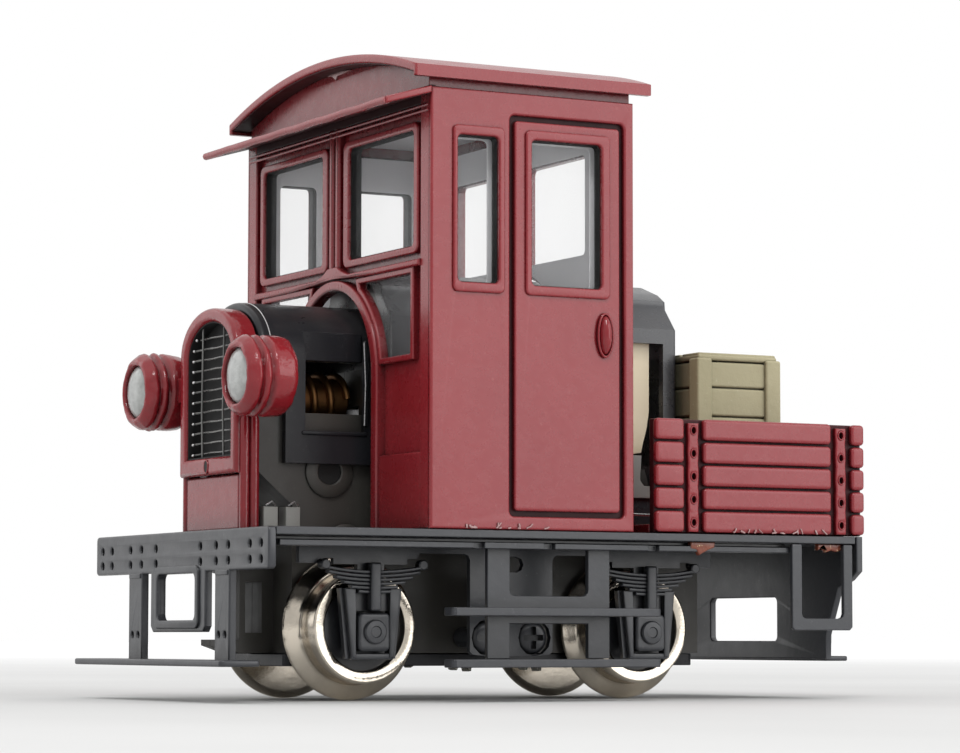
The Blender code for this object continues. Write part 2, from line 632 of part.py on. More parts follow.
def make_gear_case():
    """Two nylon halves that meet on the centre line, with the keeper plate below."""
    front, idler, worm_gear = gear_centres()
    shaft_z = worm_axis_z()
    cradle = 11.5
    outer = [(4.7, 1.62), (29.0, 1.62), (29.0, 6.8), (26.0, 6.8), (26.0, 10.4), (25.7, cradle),
             (10.6, cradle), (10.6, 16.4), (9.3, 16.4), (9.3, 13.9), (4.95, 13.9), (4.95, 16.4),
             (3.15, 16.4), (2.7, 14.0), (2.7, 10.9), (4.7, 9.15)]
    nose = [(1.7, 2.0), (2.8, 1.62), (4.9, 1.62), (4.9, 6.2), (2.8, 6.2), (2.8, 2.3), (1.7, 2.3)]
    nose_slot = rectangle((3.12, 4.05), (2.65, 5.25))
    chain_top = 5.6
    pocket = [(4.98, 0.5), (26.4, 0.5), (26.4, chain_top), (10.45, chain_top), (10.45, 11.0),
              (10.1, 14.5), (5.0, 14.5), (3.0, 12.5), (3.0, 10.77), (4.98, 8.95)]
    chain_x = [AXLE_X[0] + (AXLE_CHAIN_TEETH + CHAIN_TEETH) * CHAIN_MODULE / 2
               + step * CHAIN_TEETH * CHAIN_MODULE for step in range(3)]
    for name, side in SIDES:
        low, high = sorted((side * 0.015, side * CASE_HALF))
        half = plate(f"gear_case_{name}", [outer], "side", low, high, CASE_GREY)
        low, high = sorted((side * 0.015, side * 1.2))
        join(half, plate(f"nose_{name}", [nose, nose_slot], "side", low, high))
        low, high = sorted((side * -1.0, side * 1.7))
        cut(half, plate(f"pocket_{name}", [pocket], "side", low, high))
        for x, z, radius in ((AXLE_X[0], AXLE_Z, AXLE_RADIUS + 0.06),
                             (AXLE_X[1], AXLE_Z, AXLE_RADIUS + 0.06),
                             (*idler, PIN_HOLE), (*worm_gear, PIN_HOLE)):
            cut(half, rod(f"bore_{name}_{x:.0f}_{z:.0f}", radius, (x, -6, z), 6, "y", sides=14))
        for number, x in enumerate(chain_x):
            low, high = sorted((side * 1.0, side * 2.7))
            cut(half, rod(f"chain_bore_{name}_{number}", PIN_HOLE, (x, low, AXLE_Z), high, "y",
                          sides=12))
        cut(half, rod(f"shaft_bore_{name}", SHAFT_RADIUS + 0.1, (1.0, 0, shaft_z), 12.0, "x",
                      sides=14))
    keeper = rectangle((4.4, 28.8), (-3.3, 3.3), 0.3, 2)
    slots = [rectangle((5.6, 9.35), (-1.65, 1.65), 0.2, 2),
             rectangle((9.62, 22.05), (-1.65, -0.5), 0.2, 2),
             rectangle((22.3, 25.6), (-1.65, 1.65), 0.2, 2)]
    plate("keeper_plate", [keeper] + slots, "flat", 0.95, 1.59, COVER_BLACK)
    for number, side in enumerate((-1, 1)):
        make_case_screw(f"case_screw_{number + 1}", MIDDLE_X + side * CASE_SCREW_REACH, CASE_SCREW_Z)


def make_case_screw(name, x, z):
    """Cross-head screw from the near side, its head in the side frame's opening."""
    face = FRAME_OUTER - 0.1
    length = face - CASE_HALF - FIT
    profile = [(0, 0), (CASE_SCREW_HEAD, 0), (CASE_SCREW_HEAD, 0.5), (0.55, 0.6), (0.55, length),
               (0, length)]
    made = turned(name, profile, "y", (x, -face, z), STEEL, 14)
    arm = 0.2
    for part, wide, tall in (("across", 0.6, arm), ("upright", arm, 0.6)):
        cut(made, box(f"{name}_{part}", (x - wide, x + wide), (-face - 0.3, -face + 0.35),
                      (z - tall, z + tall)))


def make_motor_cover():
    """One moulding from the radiator back through the cab: collar, hood and rear hump."""
    cover = plate("motor_cover", [arch(3.9, 16.6, 3.15, 11.3)], "end", COVER_FRONT, COVER_STEP + 0.3,
                  COVER_BLACK)
    right = [(4.2, 8.1), (4.2, 19.1), (3.15, 20.3), (3.1, 20.75), (2.45, 21.15), (0.8, 21.7)]
    join(cover, plate("hump", [mirrored(right)], "end", COVER_STEP, COVER_REAR))
    inner = arch(3.9 - COVER_WALL, 16.6, 3.15 - COVER_WALL, 5.0)
    cut(cover, plate("hood_hollow", [inner], "end", COVER_FRONT + COVER_WALL, COVER_STEP + 0.8))
    right = [(3.75, 6.0), (3.75, 18.85), (2.75, 20.0), (1.5, 20.9)]
    cut(cover, plate("hump_hollow", [mirrored(right)], "end", COVER_STEP + COVER_WALL,
                     COVER_REAR - COVER_WALL))
    openings = {
        "front_window": ((5.2, 8.6), (12.95, 18.1)),
        "rear_window": ((20.9, 26.42), (10.3, 18.3)),
        "collar_cut": ((2.0, 3.5), (10.0, 16.9)),
        "block_cut": ((3.0, 4.1), (10.0, 14.0)),
    }
    for name, (x, z) in openings.items():
        cut(cover, box(name, x, (-6.0, 6.0), z))


# ---------------------------------------------------------------- radiator and lamps

def make_radiator():
    rim_back = COVER_FRONT - 0.1
    opening = arch(2.9, 16.85, 1.85, 11.65)
    plug = circle(0, 11.2, 0.24, 8)
    outline = arch(RADIATOR_HALF, RADIATOR_SPRING, 2.35, RADIATOR_BOTTOM)
    plate("radiator_shell", [outline, opening, plug], "end", RADIATOR_FRONT, rim_back, RED)
    rows, bottom, pitch, wire = 10, 11.85, 0.65, 0.14
    shoulder = 17.1
    columns = ((-2.7, -1.22), (-1.08, 1.08), (1.22, 2.7))
    holes = []
    for row in range(rows):
        z = (bottom + row * pitch + wire / 2, bottom + (row + 1) * pitch - wire / 2)
        holes += [rectangle(y, z) for y in (columns if z[1] < shoulder else columns[1:2])]
    plate("radiator_grille", [arch(2.85, 16.85, 1.78, 11.7, 10)] + holes, "end", 1.85, 2.05, STEEL)
    base = box("radiator_base", (1.75, 2.62), (-3.35, 3.35), (DECK, RADIATOR_BOTTOM - FIT), RED)
    soften(base, 0.12)


def make_lamps():
    """Stepped drum lamps on short arms from the radiator shell, each with a lens."""
    profile = [(0, 0.5), (1.42, 0.5), (1.42, 0), (1.7, 0), (2.05, 0.45), (1.87, 0.7), (2.05, 0.95),
               (1.87, 1.25), (2.05, 1.6), (1.95, 2.55), (1.75, 2.7), (0, 2.7)]
    lens = [(0, -0.05), (0.8, 0.0), (1.36, 0.15), (1.36, 0.46), (0, 0.46)]
    for name, side in SIDES:
        place = (0.05, side * LAMP_Y, LAMP_Z)
        lamp = turned(f"headlamp_{name}", profile, "x", place, RED, 24)
        reach = sorted((side * (RADIATOR_HALF + FIT), side * 5.6))
        join(lamp, box(f"lamp_arm_{name}", (1.7, 2.5), reach, (LAMP_Z - 0.7, LAMP_Z + 0.7)))
        turned(f"lamp_lens_{name}", lens, "x", place, LENS, 16)


# ---------------------------------------------------------------- cab

def roof_height(y, radius=ROOF_RADIUS):
    """The height of the roof's outer curve, or of one inside it, at a distance y."""
    centre = ROOF_CROWN - ROOF_RADIUS
    return centre + math.sqrt(radius ** 2 - y ** 2)


def roof_curve(half, radius, steps=14):
    """Points from +half to -half along the roof's curve of the given radius."""
    return [(half * (1 - 2 * i / steps), roof_height(half * (1 - 2 * i / steps), radius))
            for i in range(steps + 1)]


def door_handle(name, side):
    """Oval pull on the door, its back sunk in the wall."""
    y = sorted((side * (HALF_WIDTH - 0.2), side * (HALF_WIDTH + 0.4)))
    handle = plate(f"handle_{name}", [arc(0, 0, 0.43, 0, 342, 19, 1.05)], "side", *y)
    handle.location.x = 18.46 * MM
    handle.location.z = 17.85 * MM
    return handle


def make_cab():
    outer = rectangle((CAB_FRONT, CAB_REAR), (-HALF_WIDTH, HALF_WIDTH), CAB_CORNERS, 3)
    inner = rectangle((CAB_FRONT + CAB_WALL, CAB_REAR - CAB_WALL),
                      (CAB_WALL - HALF_WIDTH, HALF_WIDTH - CAB_WALL), 0.2, 1)
    cab = plate("cab_body", [outer, inner], "flat", DECK, ROOF_CROWN, RED)
    under = ROOF_RADIUS - ROOF_THICK - FIT
    above = roof_curve(12.0, under) + [(-12.0, 36.0), (12.0, 36.0)]
    cut(cab, plate("roof_line", [above], "end", 5.0, 24.0))
    eaves = box("eave_line", (5.0, 24.0), (-14.0, 14.0), (WALL_TOP, 36.0))
    cut(eaves, box("gable", (4.0, 25.0), (-HALF_WIDTH + 0.35, HALF_WIDTH - 0.35), (20.0, 37.0)))
    cut(cab, eaves)

    through = 3.0
    for name, side in SIDES:
        y = sorted((side * (HALF_WIDTH - through), side * (HALF_WIDTH + through)))
        windows = (("quarter", (10.1, 12.45), (20.2, 27.65)), ("door", (14.35, 18.45), (20.2, 27.65)))
        for window, x, z in windows:
            cut(cab, plate(f"{window}_window_{name}", [rectangle(x, z, 0.25, 2)], "side", *y))
        groove = [rectangle((13.15, 19.85), (8.5, 28.85), 0.2, 2),
                  rectangle((13.4, 19.6), (8.75, 28.6), 0.15, 2)]
        y = sorted((side * (HALF_WIDTH - 0.18), side * (HALF_WIDTH + through)))
        cut(cab, plate(f"door_groove_{name}", groove, "side", *y))
        join(cab, door_handle(name, side))
        ends = (("front", (1.6, 9.1), (22.15, 28.05), (5.0, 12.0)),
                ("rear", (0.6, 7.55), (22.45, 27.75), (17.0, 24.0)))
        for end, across, tall, along in ends:
            outline = [(side * u, v) for u, v in rectangle(across, tall, 0.25, 2)]
            cut(cab, plate(f"{end}_window_{name}", [outline], "end", *along))
        lower = [(8.9, 16.7), (8.9, 20.77), (3.0, 20.77)]
        lower += arc(0, ARCH_SPRING - 0.1, 5.65, 57, 9, 6)
        lower = [(side * u, v) for u, v in lower]
        cut(cab, plate(f"lower_window_{name}", [lower], "end", 5.0, 11.0))
    cut(cab, plate("front_arch", [arch(ARCH_HALF, ARCH_SPRING, 4.75, 5.0)], "end", 5.0, 11.0))
    cut(cab, plate("rear_arch", [arch(ARCH_HALF + 0.2, 16.7, 5.2, 5.0)], "end", 18.0, 24.0))


def make_roof():
    """Curved sheet with a drip rail along each eave."""
    rail = 0.3
    outer = roof_curve(ROOF_HALF, ROOF_RADIUS)
    inner = roof_curve(ROOF_HALF - rail, ROOF_RADIUS - ROOF_THICK)
    outline = outer + [(-ROOF_HALF, EAVE_BOTTOM), (rail - ROOF_HALF, EAVE_BOTTOM)]
    outline += inner[::-1] + [(ROOF_HALF - rail, EAVE_BOTTOM), (ROOF_HALF, EAVE_BOTTOM)]
    plate("cab_roof", [outline], "end", ROOF_FRONT, ROOF_REAR, RED)
    back = CAB_FRONT - FIT
    half = ROOF_HALF - 0.15
    visor = [(VISOR_FRONT, VISOR_LOW), (back, VISOR_HIGH), (back, VISOR_HIGH + VISOR_THICK),
             (VISOR_FRONT, VISOR_LOW + VISOR_THICK)]
    plate("cab_visor", [visor], "side", -half, half, RED)


def make_glazing():
    """Clear box liner behind all the windows, cut away over the motor cover."""
    gap = CAB_WALL + FIT
    sheet = 0.5
    outer = rectangle((CAB_FRONT + gap, CAB_REAR - gap), (gap - HALF_WIDTH, HALF_WIDTH - gap), 0.3, 1)
    gap += sheet
    inner = rectangle((CAB_FRONT + gap, CAB_REAR - gap), (gap - HALF_WIDTH, HALF_WIDTH - gap), 0.2, 1)
    glazing = plate("cab_glazing", [outer, inner], "flat", 16.2, 29.5, CLEAR)
    cut(glazing, plate("liner_arch", [arch(5.1, 16.7, 5.4, 5.0)], "end", 5.0, 24.0))


# ---------------------------------------------------------------- bed and load

def make_bed():
    """Planked bed: floor, two sides with stakes and a rear board; open at the front."""
    outer = rectangle((BED_FRONT, BED_REAR), (-HALF_WIDTH, HALF_WIDTH))
    bed = plate("load_bed", [outer], "flat", DECK, BED_TOP, RED)
    hollow = rectangle((BED_FRONT - 2.0, BED_REAR - BED_WALL),
                       (BED_WALL - HALF_WIDTH, HALF_WIDTH - BED_WALL))
    cut(bed, plate("bed_hollow", [hollow], "flat", DECK + 0.5, BED_TOP + 2.0))
    cut(bed, box("cover_gap", (BED_FRONT - 2.0, COVER_REAR + 0.2), (-4.35, 4.35), (5.0, BED_TOP + 2)))
    planks = 5
    plank = (BED_TOP - DECK) / planks
    groove = 0.28
    for side in (-1, 1):
        y = sorted((side * (HALF_WIDTH - 0.15), side * (HALF_WIDTH + 2.0)))
        for number in range(1, planks):
            z = DECK + number * plank
            cut(bed, box(f"plank_gap_{side}_{number}", (BED_FRONT - 1, BED_REAR + 1), y,
                         (z - groove / 2, z + groove / 2)))
    for x in (24.05, 33.2):
        for side in (-1, 1):
            y = sorted((side * (HALF_WIDTH - 0.4), side * (HALF_WIDTH + 0.2)))
            join(bed, box(f"stake_{side}_{x:.0f}", (x - 0.5, x + 0.5), y, (DECK, BED_TOP - 0.15)))


def make_crate():
    """Packing case behind the motor cover, with corner battens and a lid."""
    x, y = (27.5, 32.85), (-6.0, 4.0)
    bottom, top = DECK + 0.5 + FIT, 17.35
    crate = box("crate", (x[0] + 0.25, x[1] - 0.25), (y[0] + 0.25, y[1] - 0.25), (bottom, top), CRATE)
    for u in x:
        for v in y:
            bx = (u, u + 0.95) if u == x[0] else (u - 0.95, u)
            by = (v, v + 0.95) if v == y[0] else (v - 0.95, v)
            join(crate, box(f"batten_{u:.0f}_{v:.0f}", bx, by, (bottom, top - 0.1)))
    soften(box("crate_lid", x, y, (top + FIT, 17.8), CRATE), 0.1)


def build():
    make_footplate()
    make_front_headstock()
    make_rear_headstock()
    make_sole_bars()
    make_side_steps()
    make_rear_steps()
    make_side_frames()
    make_springs()
    make_axleboxes()
    make_wheels()
    make_gears()
    make_worm()
    make_motor()
    make_gear_case()
    make_motor_cover()
    make_radiator()
    make_lamps()
    make_cab()
    make_roof()
    make_glazing()
    make_bed()
    make_crate()


build()
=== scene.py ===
"""Looks for the model diesel locomotive: finer pieces, paint and studio light.

Lengths are in millimetres, in the part's own layout: x rearwards from the front
headstock, y positive to the far side, z above the rail head. at() turns them to metres.
"""

import json
import math
import random

import bmesh
import bpy
from mathutils import Matrix, Vector
from mathutils.geometry import tessellate_polygon

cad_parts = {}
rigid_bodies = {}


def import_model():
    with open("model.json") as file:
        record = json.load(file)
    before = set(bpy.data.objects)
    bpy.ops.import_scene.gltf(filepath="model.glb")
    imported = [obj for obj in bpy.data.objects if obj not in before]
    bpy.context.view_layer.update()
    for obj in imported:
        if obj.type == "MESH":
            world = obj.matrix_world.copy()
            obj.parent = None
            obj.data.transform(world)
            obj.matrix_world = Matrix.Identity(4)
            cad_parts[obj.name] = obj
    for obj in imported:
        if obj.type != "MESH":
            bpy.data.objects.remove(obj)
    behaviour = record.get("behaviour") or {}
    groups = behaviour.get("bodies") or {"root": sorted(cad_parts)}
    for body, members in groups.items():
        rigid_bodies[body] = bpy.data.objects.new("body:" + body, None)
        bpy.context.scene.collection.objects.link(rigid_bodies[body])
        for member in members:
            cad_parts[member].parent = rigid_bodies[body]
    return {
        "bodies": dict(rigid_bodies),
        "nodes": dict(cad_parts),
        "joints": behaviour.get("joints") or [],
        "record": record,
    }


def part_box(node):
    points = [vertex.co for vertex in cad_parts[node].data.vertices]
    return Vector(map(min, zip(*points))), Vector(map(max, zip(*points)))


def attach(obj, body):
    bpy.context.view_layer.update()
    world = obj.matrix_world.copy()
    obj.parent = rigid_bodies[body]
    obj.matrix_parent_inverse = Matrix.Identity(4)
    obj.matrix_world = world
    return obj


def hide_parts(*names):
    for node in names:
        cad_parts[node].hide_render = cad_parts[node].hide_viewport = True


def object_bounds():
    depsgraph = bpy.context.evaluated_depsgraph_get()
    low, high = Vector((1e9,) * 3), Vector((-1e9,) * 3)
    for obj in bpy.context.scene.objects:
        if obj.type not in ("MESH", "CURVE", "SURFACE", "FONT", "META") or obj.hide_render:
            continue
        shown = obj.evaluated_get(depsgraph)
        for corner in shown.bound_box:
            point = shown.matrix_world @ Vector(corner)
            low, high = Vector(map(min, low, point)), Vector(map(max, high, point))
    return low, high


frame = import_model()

MM = 0.001
SIDES = (("near", -1), ("far", 1))
OVERALL_FRONT = -2.0
FLANGE_DEPTH = 0.79

CAD_LOW, CAD_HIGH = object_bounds()
SHIFT = Vector((CAD_LOW.x - OVERALL_FRONT * MM, 0.0, CAD_LOW.z + FLANGE_DEPTH * MM))
NODES = frame["nodes"]
SLOTS = {row["node"]: row["material_slot"] for row in frame["record"]["subparts"]}


def at(x, y, z):
    """A point of the layout in the row's frame, in metres."""
    return Vector((x * MM, y * MM, z * MM)) + SHIFT


def box_mm(node):
    """The node's lowest and highest corners in the layout, in millimetres."""
    low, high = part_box(node)
    return [(corner - SHIFT) / MM for corner in (low, high)]


# ------------------------ materials

class Look:
    """A Principled material and short ways to wire nodes into it."""

    def __init__(self, name, **values):
        self.material = bpy.data.materials.new(name)
        self.material.use_nodes = True
        self.tree = self.material.node_tree
        self.shader = self.tree.nodes["Principled BSDF"]
        for socket, value in values.items():
            self.shader.inputs[socket.replace("_", " ")].default_value = value
        self.place = self.tree.nodes.new("ShaderNodeTexCoord").outputs["Object"]

    def add(self, kind, inputs=(), **settings):
        """A new node with its settings and the values of its inputs."""
        node = self.tree.nodes.new(f"ShaderNode{kind}")
        for key, value in settings.items():
            setattr(node, key, value)
        for socket, value in dict(inputs).items():
            node.inputs[socket].default_value = value
        return node

    def link(self, source, target):
        self.tree.links.new(source, target)

    def noise(self, size_mm, detail=3.0, roughness=0.55, stretch=None):
        """Noise whose cells are about size_mm across, as a 0 to 1 value."""
        node = self.add("TexNoise", {"Scale": 1 / (size_mm * MM), "Detail": detail, "Roughness": roughness})
        source = self.place
        if stretch:
            mapping = self.add("Mapping", {"Scale": stretch})
            self.link(source, mapping.inputs["Vector"])
            source = mapping.outputs["Vector"]
        self.link(source, node.inputs["Vector"])
        return node.outputs["Fac"]

    def ramp(self, value, low, high, start=0.35, end=0.65):
        """Maps the part of value between start and end onto low to high."""
        node = self.add("MapRange", {"From Min": start, "From Max": end, "To Min": low, "To Max": high})
        self.link(value, node.inputs["Value"])
        return node.outputs["Result"]

    def blend(self, factor, first, second):
        """A colour between first and second, each a colour or another node's output."""
        node = self.add("Mix", data_type="RGBA")
        for socket, colour in (("A", first), ("B", second)):
            target = [s for s in node.inputs if s.name == socket and s.type == "RGBA"][0]
            if isinstance(colour, tuple):
                target.default_value = (*colour, 1.0)
            else:
                self.link(colour, target)
        target = [s for s in node.inputs if s.name == "Factor" and s.type == "VALUE"][0]
        self.link(factor, target)
        return [s for s in node.outputs if s.type == "RGBA"][0]

    def mottled(self, cloud, first, second, start=0.35, end=0.65):
        """A colour that goes from first to second with the noise cloud."""
        return self.blend(self.ramp(cloud, 0.0, 1.0, start, end), first, second)

    def multiply(self, first, second):
        node = self.add("Math", operation="MULTIPLY")
        for socket, value in zip(node.inputs, (first, second)):
            if isinstance(value, float):
                socket.default_value = value
            else:
                self.link(value, socket)
        return node.outputs[0]

    def colour(self, output):
        self.link(output, self.shader.inputs["Base Color"])

    def roughness(self, output):
        self.link(output, self.shader.inputs["Roughness"])

    def bumps(self, *layers):
        """Chains bumps; each layer is (height output, height in millimetres)."""
        normal = None
        for height, depth in layers:
            node = self.add("Bump", {"Strength": 1.0, "Distance": depth * MM})
            self.link(height, node.inputs["Height"])
            if normal:
                self.link(normal, node.inputs["Normal"])
            normal = node.outputs["Normal"]
        self.link(normal, self.shader.inputs["Normal"])

    def recesses(self, reach_mm=2.2):
        """1 in corners and under ledges, where painted shade darkens the paint, 0 in the open."""
        node = self.add("AmbientOcclusion", {"Distance": reach_mm * MM}, samples=6)
        return self.ramp(node.outputs["AO"], 1.0, 0.0, 0.3, 0.8)

    def upward(self):
        """1 on faces that look up, for dust."""
        geometry = self.add("NewGeometry")
        split = self.add("SeparateXYZ")
        self.link(geometry.outputs["Normal"], split.inputs[0])
        return self.ramp(split.outputs["Z"], 0.0, 1.0, 0.35, 0.95)


DUST = (0.42, 0.36, 0.32)
# how dark the painted shade in corners gets, as a share of each paint's dark colour
PAINTED_SHADE_DEPTH = 0.2


def paint(name, dark, base, pale, roughness, peel=0.012, specks=0.25, shine=0.5, shade_strength=0.85):
    """Sprayed satin paint: cloudy tone, pale specks, orange peel of peel millimetres, dust on
    faces that look up, and painted shade that darkens corners and the undersides of ledges."""
    look = Look(name, Specular_IOR_Level=shine)
    tone = look.mottled(look.noise(5.0, 2.0), dark, base, 0.2, 0.8)
    speck = look.ramp(look.noise(0.22, 2.0), 0.0, specks, 0.66, 0.74)
    tone = look.blend(speck, tone, pale)
    dust = look.multiply(look.upward(), look.ramp(look.noise(1.4, 5.0), 0.01, 0.06))
    tone = look.blend(dust, tone, DUST)
    # painted shade: corners, creases and the undersides of ledges are darkened as if in shade
    if shade_strength:
        painted_shade_mask = look.multiply(look.recesses(), shade_strength)
        tone = look.blend(painted_shade_mask, tone, tuple(PAINTED_SHADE_DEPTH * part for part in dark))
    look.colour(tone)
    look.roughness(look.ramp(look.noise(0.8), roughness - 0.03, roughness + 0.05, 0.3, 0.7))
    look.bumps((look.noise(0.42, 2.0), peel), (look.noise(0.09, 2.0), peel * 0.25))
    return look.material


# where a row has a last value, it sets how strongly that paint's painted shade darkens corners
PAINTS = {  # look: material, dark, base, pale, roughness, then peel, specks, shine and wash as in paint()
    "maroon": ("maroon_paint", (0.22, 0.012, 0.018), (0.25, 0.016, 0.022), (0.4, 0.12, 0.11),
               0.27, 0.01, 0.25, 0.6),
    "maroon_gloss": ("maroon_gloss_paint", (0.2, 0.01, 0.015), (0.25, 0.014, 0.02), (0.4, 0.1, 0.1),
                     0.12, 0.03, 0.15),
    "black": ("satin_black_paint", (0.024, 0.026, 0.031), (0.03, 0.032, 0.038), (0.14, 0.14, 0.15),
              0.32, 0.008, 0.2, 0.6),
    # painted shade: the hood's copy of the cover moulding is darker, with weaker shine, than hump_black on
    # the hump
    "cover_black": ("cover_moulding", (0.013, 0.0135, 0.016), (0.018, 0.0185, 0.022), (0.1, 0.1, 0.11),
                    0.3, 0.006, 0.12, 0.25),
    # painted shade: a very dark maroon for groove floors, plank gaps, the handle rose and the undersides of
    # visor, roof and head band
    "maroon_deep": ("maroon_recess_paint", (0.03, 0.005, 0.007), (0.06, 0.008, 0.01), (0.2, 0.06, 0.06),
                    0.45, 0.01, 0.1, 0.2),
    "wire": ("blackened_wire", (0.05, 0.05, 0.05), (0.2, 0.2, 0.19), (0.5, 0.5, 0.48), 0.25, 0.004, 0.4),
    "grey_nylon": ("grey_moulding", (0.24, 0.24, 0.225), (0.32, 0.32, 0.3), (0.5, 0.5, 0.48),
                   0.5, 0.006, 0.1, 0.5, 0.4),
    # pale grey sheets lining the cab's inside
    "lining": ("frosted_lining", (0.74, 0.74, 0.76), (0.84, 0.84, 0.86), (0.9, 0.9, 0.9),
               0.35, 0.01, 0.3, 0.5, 0.0),
    "copper": ("copper_tab", (0.1, 0.015, 0.012), (0.32, 0.1, 0.05), (0.8, 0.6, 0.35), 0.2, 0.05, 0.9),
    "card": ("cream_card", (0.74, 0.64, 0.44), (0.86, 0.78, 0.58), (0.9, 0.85, 0.7),
             0.35, 0.01, 0.2, 0.5, 0.0),
    "flake": ("torn_paint", (0.3, 0.12, 0.12), (0.6, 0.45, 0.44), (0.8, 0.75, 0.72), 0.25, 0.02),
    "hump_black": ("hump_moulding", (0.03, 0.032, 0.036), (0.042, 0.044, 0.05), (0.15, 0.15, 0.16),
                   0.28, 0.006, 0.12, 0.7),
    # painted shadow: near-black for holes, window reveals and the radiator's mouth, where only shade shows
    "shadow_black": ("inner_black", (0.003, 0.003, 0.003), (0.006, 0.006, 0.006), (0.02, 0.02, 0.02),
                     0.7, 0.006, 0.05),
    "smoked_nylon": ("smoked_nylon_moulding", (0.035, 0.033, 0.029), (0.05, 0.047, 0.041),
                     (0.15, 0.14, 0.12), 0.45, 0.006, 0.12),
    "crate": ("crate_drab_paint", (0.3, 0.27, 0.16), (0.42, 0.38, 0.24), (0.6, 0.56, 0.42), 0.62, 0.03),
    "white_nylon": ("natural_nylon", (0.6, 0.58, 0.5), (0.72, 0.7, 0.62), (0.8, 0.78, 0.72),
                    0.45, 0.004, 0.1),
    "ferrite": ("ferrite_magnet", (0.03, 0.03, 0.03), (0.05, 0.05, 0.05), (0.1, 0.1, 0.1), 0.7, 0.01, 0.1),
}
METALS = (  # look, material, tint, lowest and highest roughness
    ("nickel", "nickel_tyre", (0.72, 0.65, 0.55), 0.08, 0.2),
    ("steel", "plain_steel", (0.6, 0.6, 0.6), 0.2, 0.4),
    ("flywheel", "turned_flywheel", (0.85, 0.75, 0.56), 0.25, 0.4),
    ("brass", "worm_brass", (0.3, 0.15, 0.06), 0.35, 0.55))


def make_looks():
    looks = {key: paint(*values) for key, values in PAINTS.items()}
    for key, name, tint, low, high in METALS:
        look = Look(name, Metallic=1.0)
        look.colour(look.mottled(look.noise(1.6), tuple(0.8 * c for c in tint), tint))
        turned = look.noise(0.12, 2.0, stretch=(1.0, 12.0, 1.0))
        look.roughness(look.ramp(turned, low, high, 0.3, 0.7))
        look.bumps((turned, 0.003), (look.noise(0.5), 0.006))
        looks[key] = look.material
    look = Look("frosted_lens", Roughness=0.12, IOR=1.5)
    look.colour(look.mottled(look.noise(0.6), (0.3, 0.31, 0.3), (0.45, 0.46, 0.45), 0.3, 0.7))
    look.bumps((look.noise(0.5), 0.05), (look.noise(0.12), 0.01))
    looks["lens"] = look.material
    look = Look("clear_styrene", Roughness=0.06, IOR=1.5)
    look.colour(look.mottled(look.noise(6.0), (0.7, 0.72, 0.74), (0.78, 0.79, 0.8)))
    look.link(look.ramp(look.noise(6.0, 2.0), 0.05, 0.07), look.shader.inputs["Alpha"])
    look.bumps((look.noise(3.0), 0.01))
    looks["clear"] = look.material
    return looks


# ------------------------ shapes

def to_mesh(name, shape):
    """The bmesh as a mesh; the bmesh is spent."""
    mesh = bpy.data.meshes.new(name)
    shape.to_mesh(mesh)
    shape.free()
    return mesh


def settle(name, shape, look, body="chassis", angle=40, weighted=True):
    """Turns a bmesh into a piece that rides on a body, with soft shading over small edges."""
    bmesh.ops.recalc_face_normals(shape, faces=shape.faces)
    return place(name, to_mesh(name, shape), look, body, angle, weighted)


def enter(name, data):
    """A new object in the scene."""
    obj = bpy.data.objects.new(name, data)
    bpy.context.scene.collection.objects.link(obj)
    return obj


def place(name, mesh, look, body="chassis", angle=40, weighted=True):
    """Puts a mesh in the scene as a piece, with its shading, look and body."""
    mesh.shade_smooth()
    mesh.set_sharp_from_angle(angle=math.radians(angle))
    obj = enter(name, mesh)
    mesh.materials.clear()
    mesh.materials.append(LOOKS[look])
    if weighted:
        normals = obj.modifiers.new("flat_faces", "WEIGHTED_NORMAL")
        normals.keep_sharp = True
    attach(obj, body)
    return obj


def area(loop):
    """Signed area: positive when the loop runs anticlockwise."""
    return sum(a[0] * b[1] - b[0] * a[1] for a, b in zip(loop, loop[1:] + loop[:1])) / 2


def shifted(loop, inset):
    """The loop moved to its left by inset, its corners mitred."""
    moved = []
    count = len(loop)
    for i, (u, v) in enumerate(loop):
        sides = []
        for a, b in ((loop[i - 1], loop[i]), (loop[i], loop[(i + 1) % count])):
            length = math.hypot(b[0] - a[0], b[1] - a[1]) or 1e-9
            sides.append((-(b[1] - a[1]) / length, (b[0] - a[0]) / length))
        (pu, pv), (qu, qv) = sides
        share = inset / max(1 + pu * qu + pv * qv, 0.35)
        moved.append((u + (pu + qu) * share, v + (pv + qv) * share))
    return moved


AXES = {"side": lambda u, v, w: at(u, w, v), "end": lambda u, v, w: at(w, u, v),
        "flat": lambda u, v, w: at(u, v, w)}


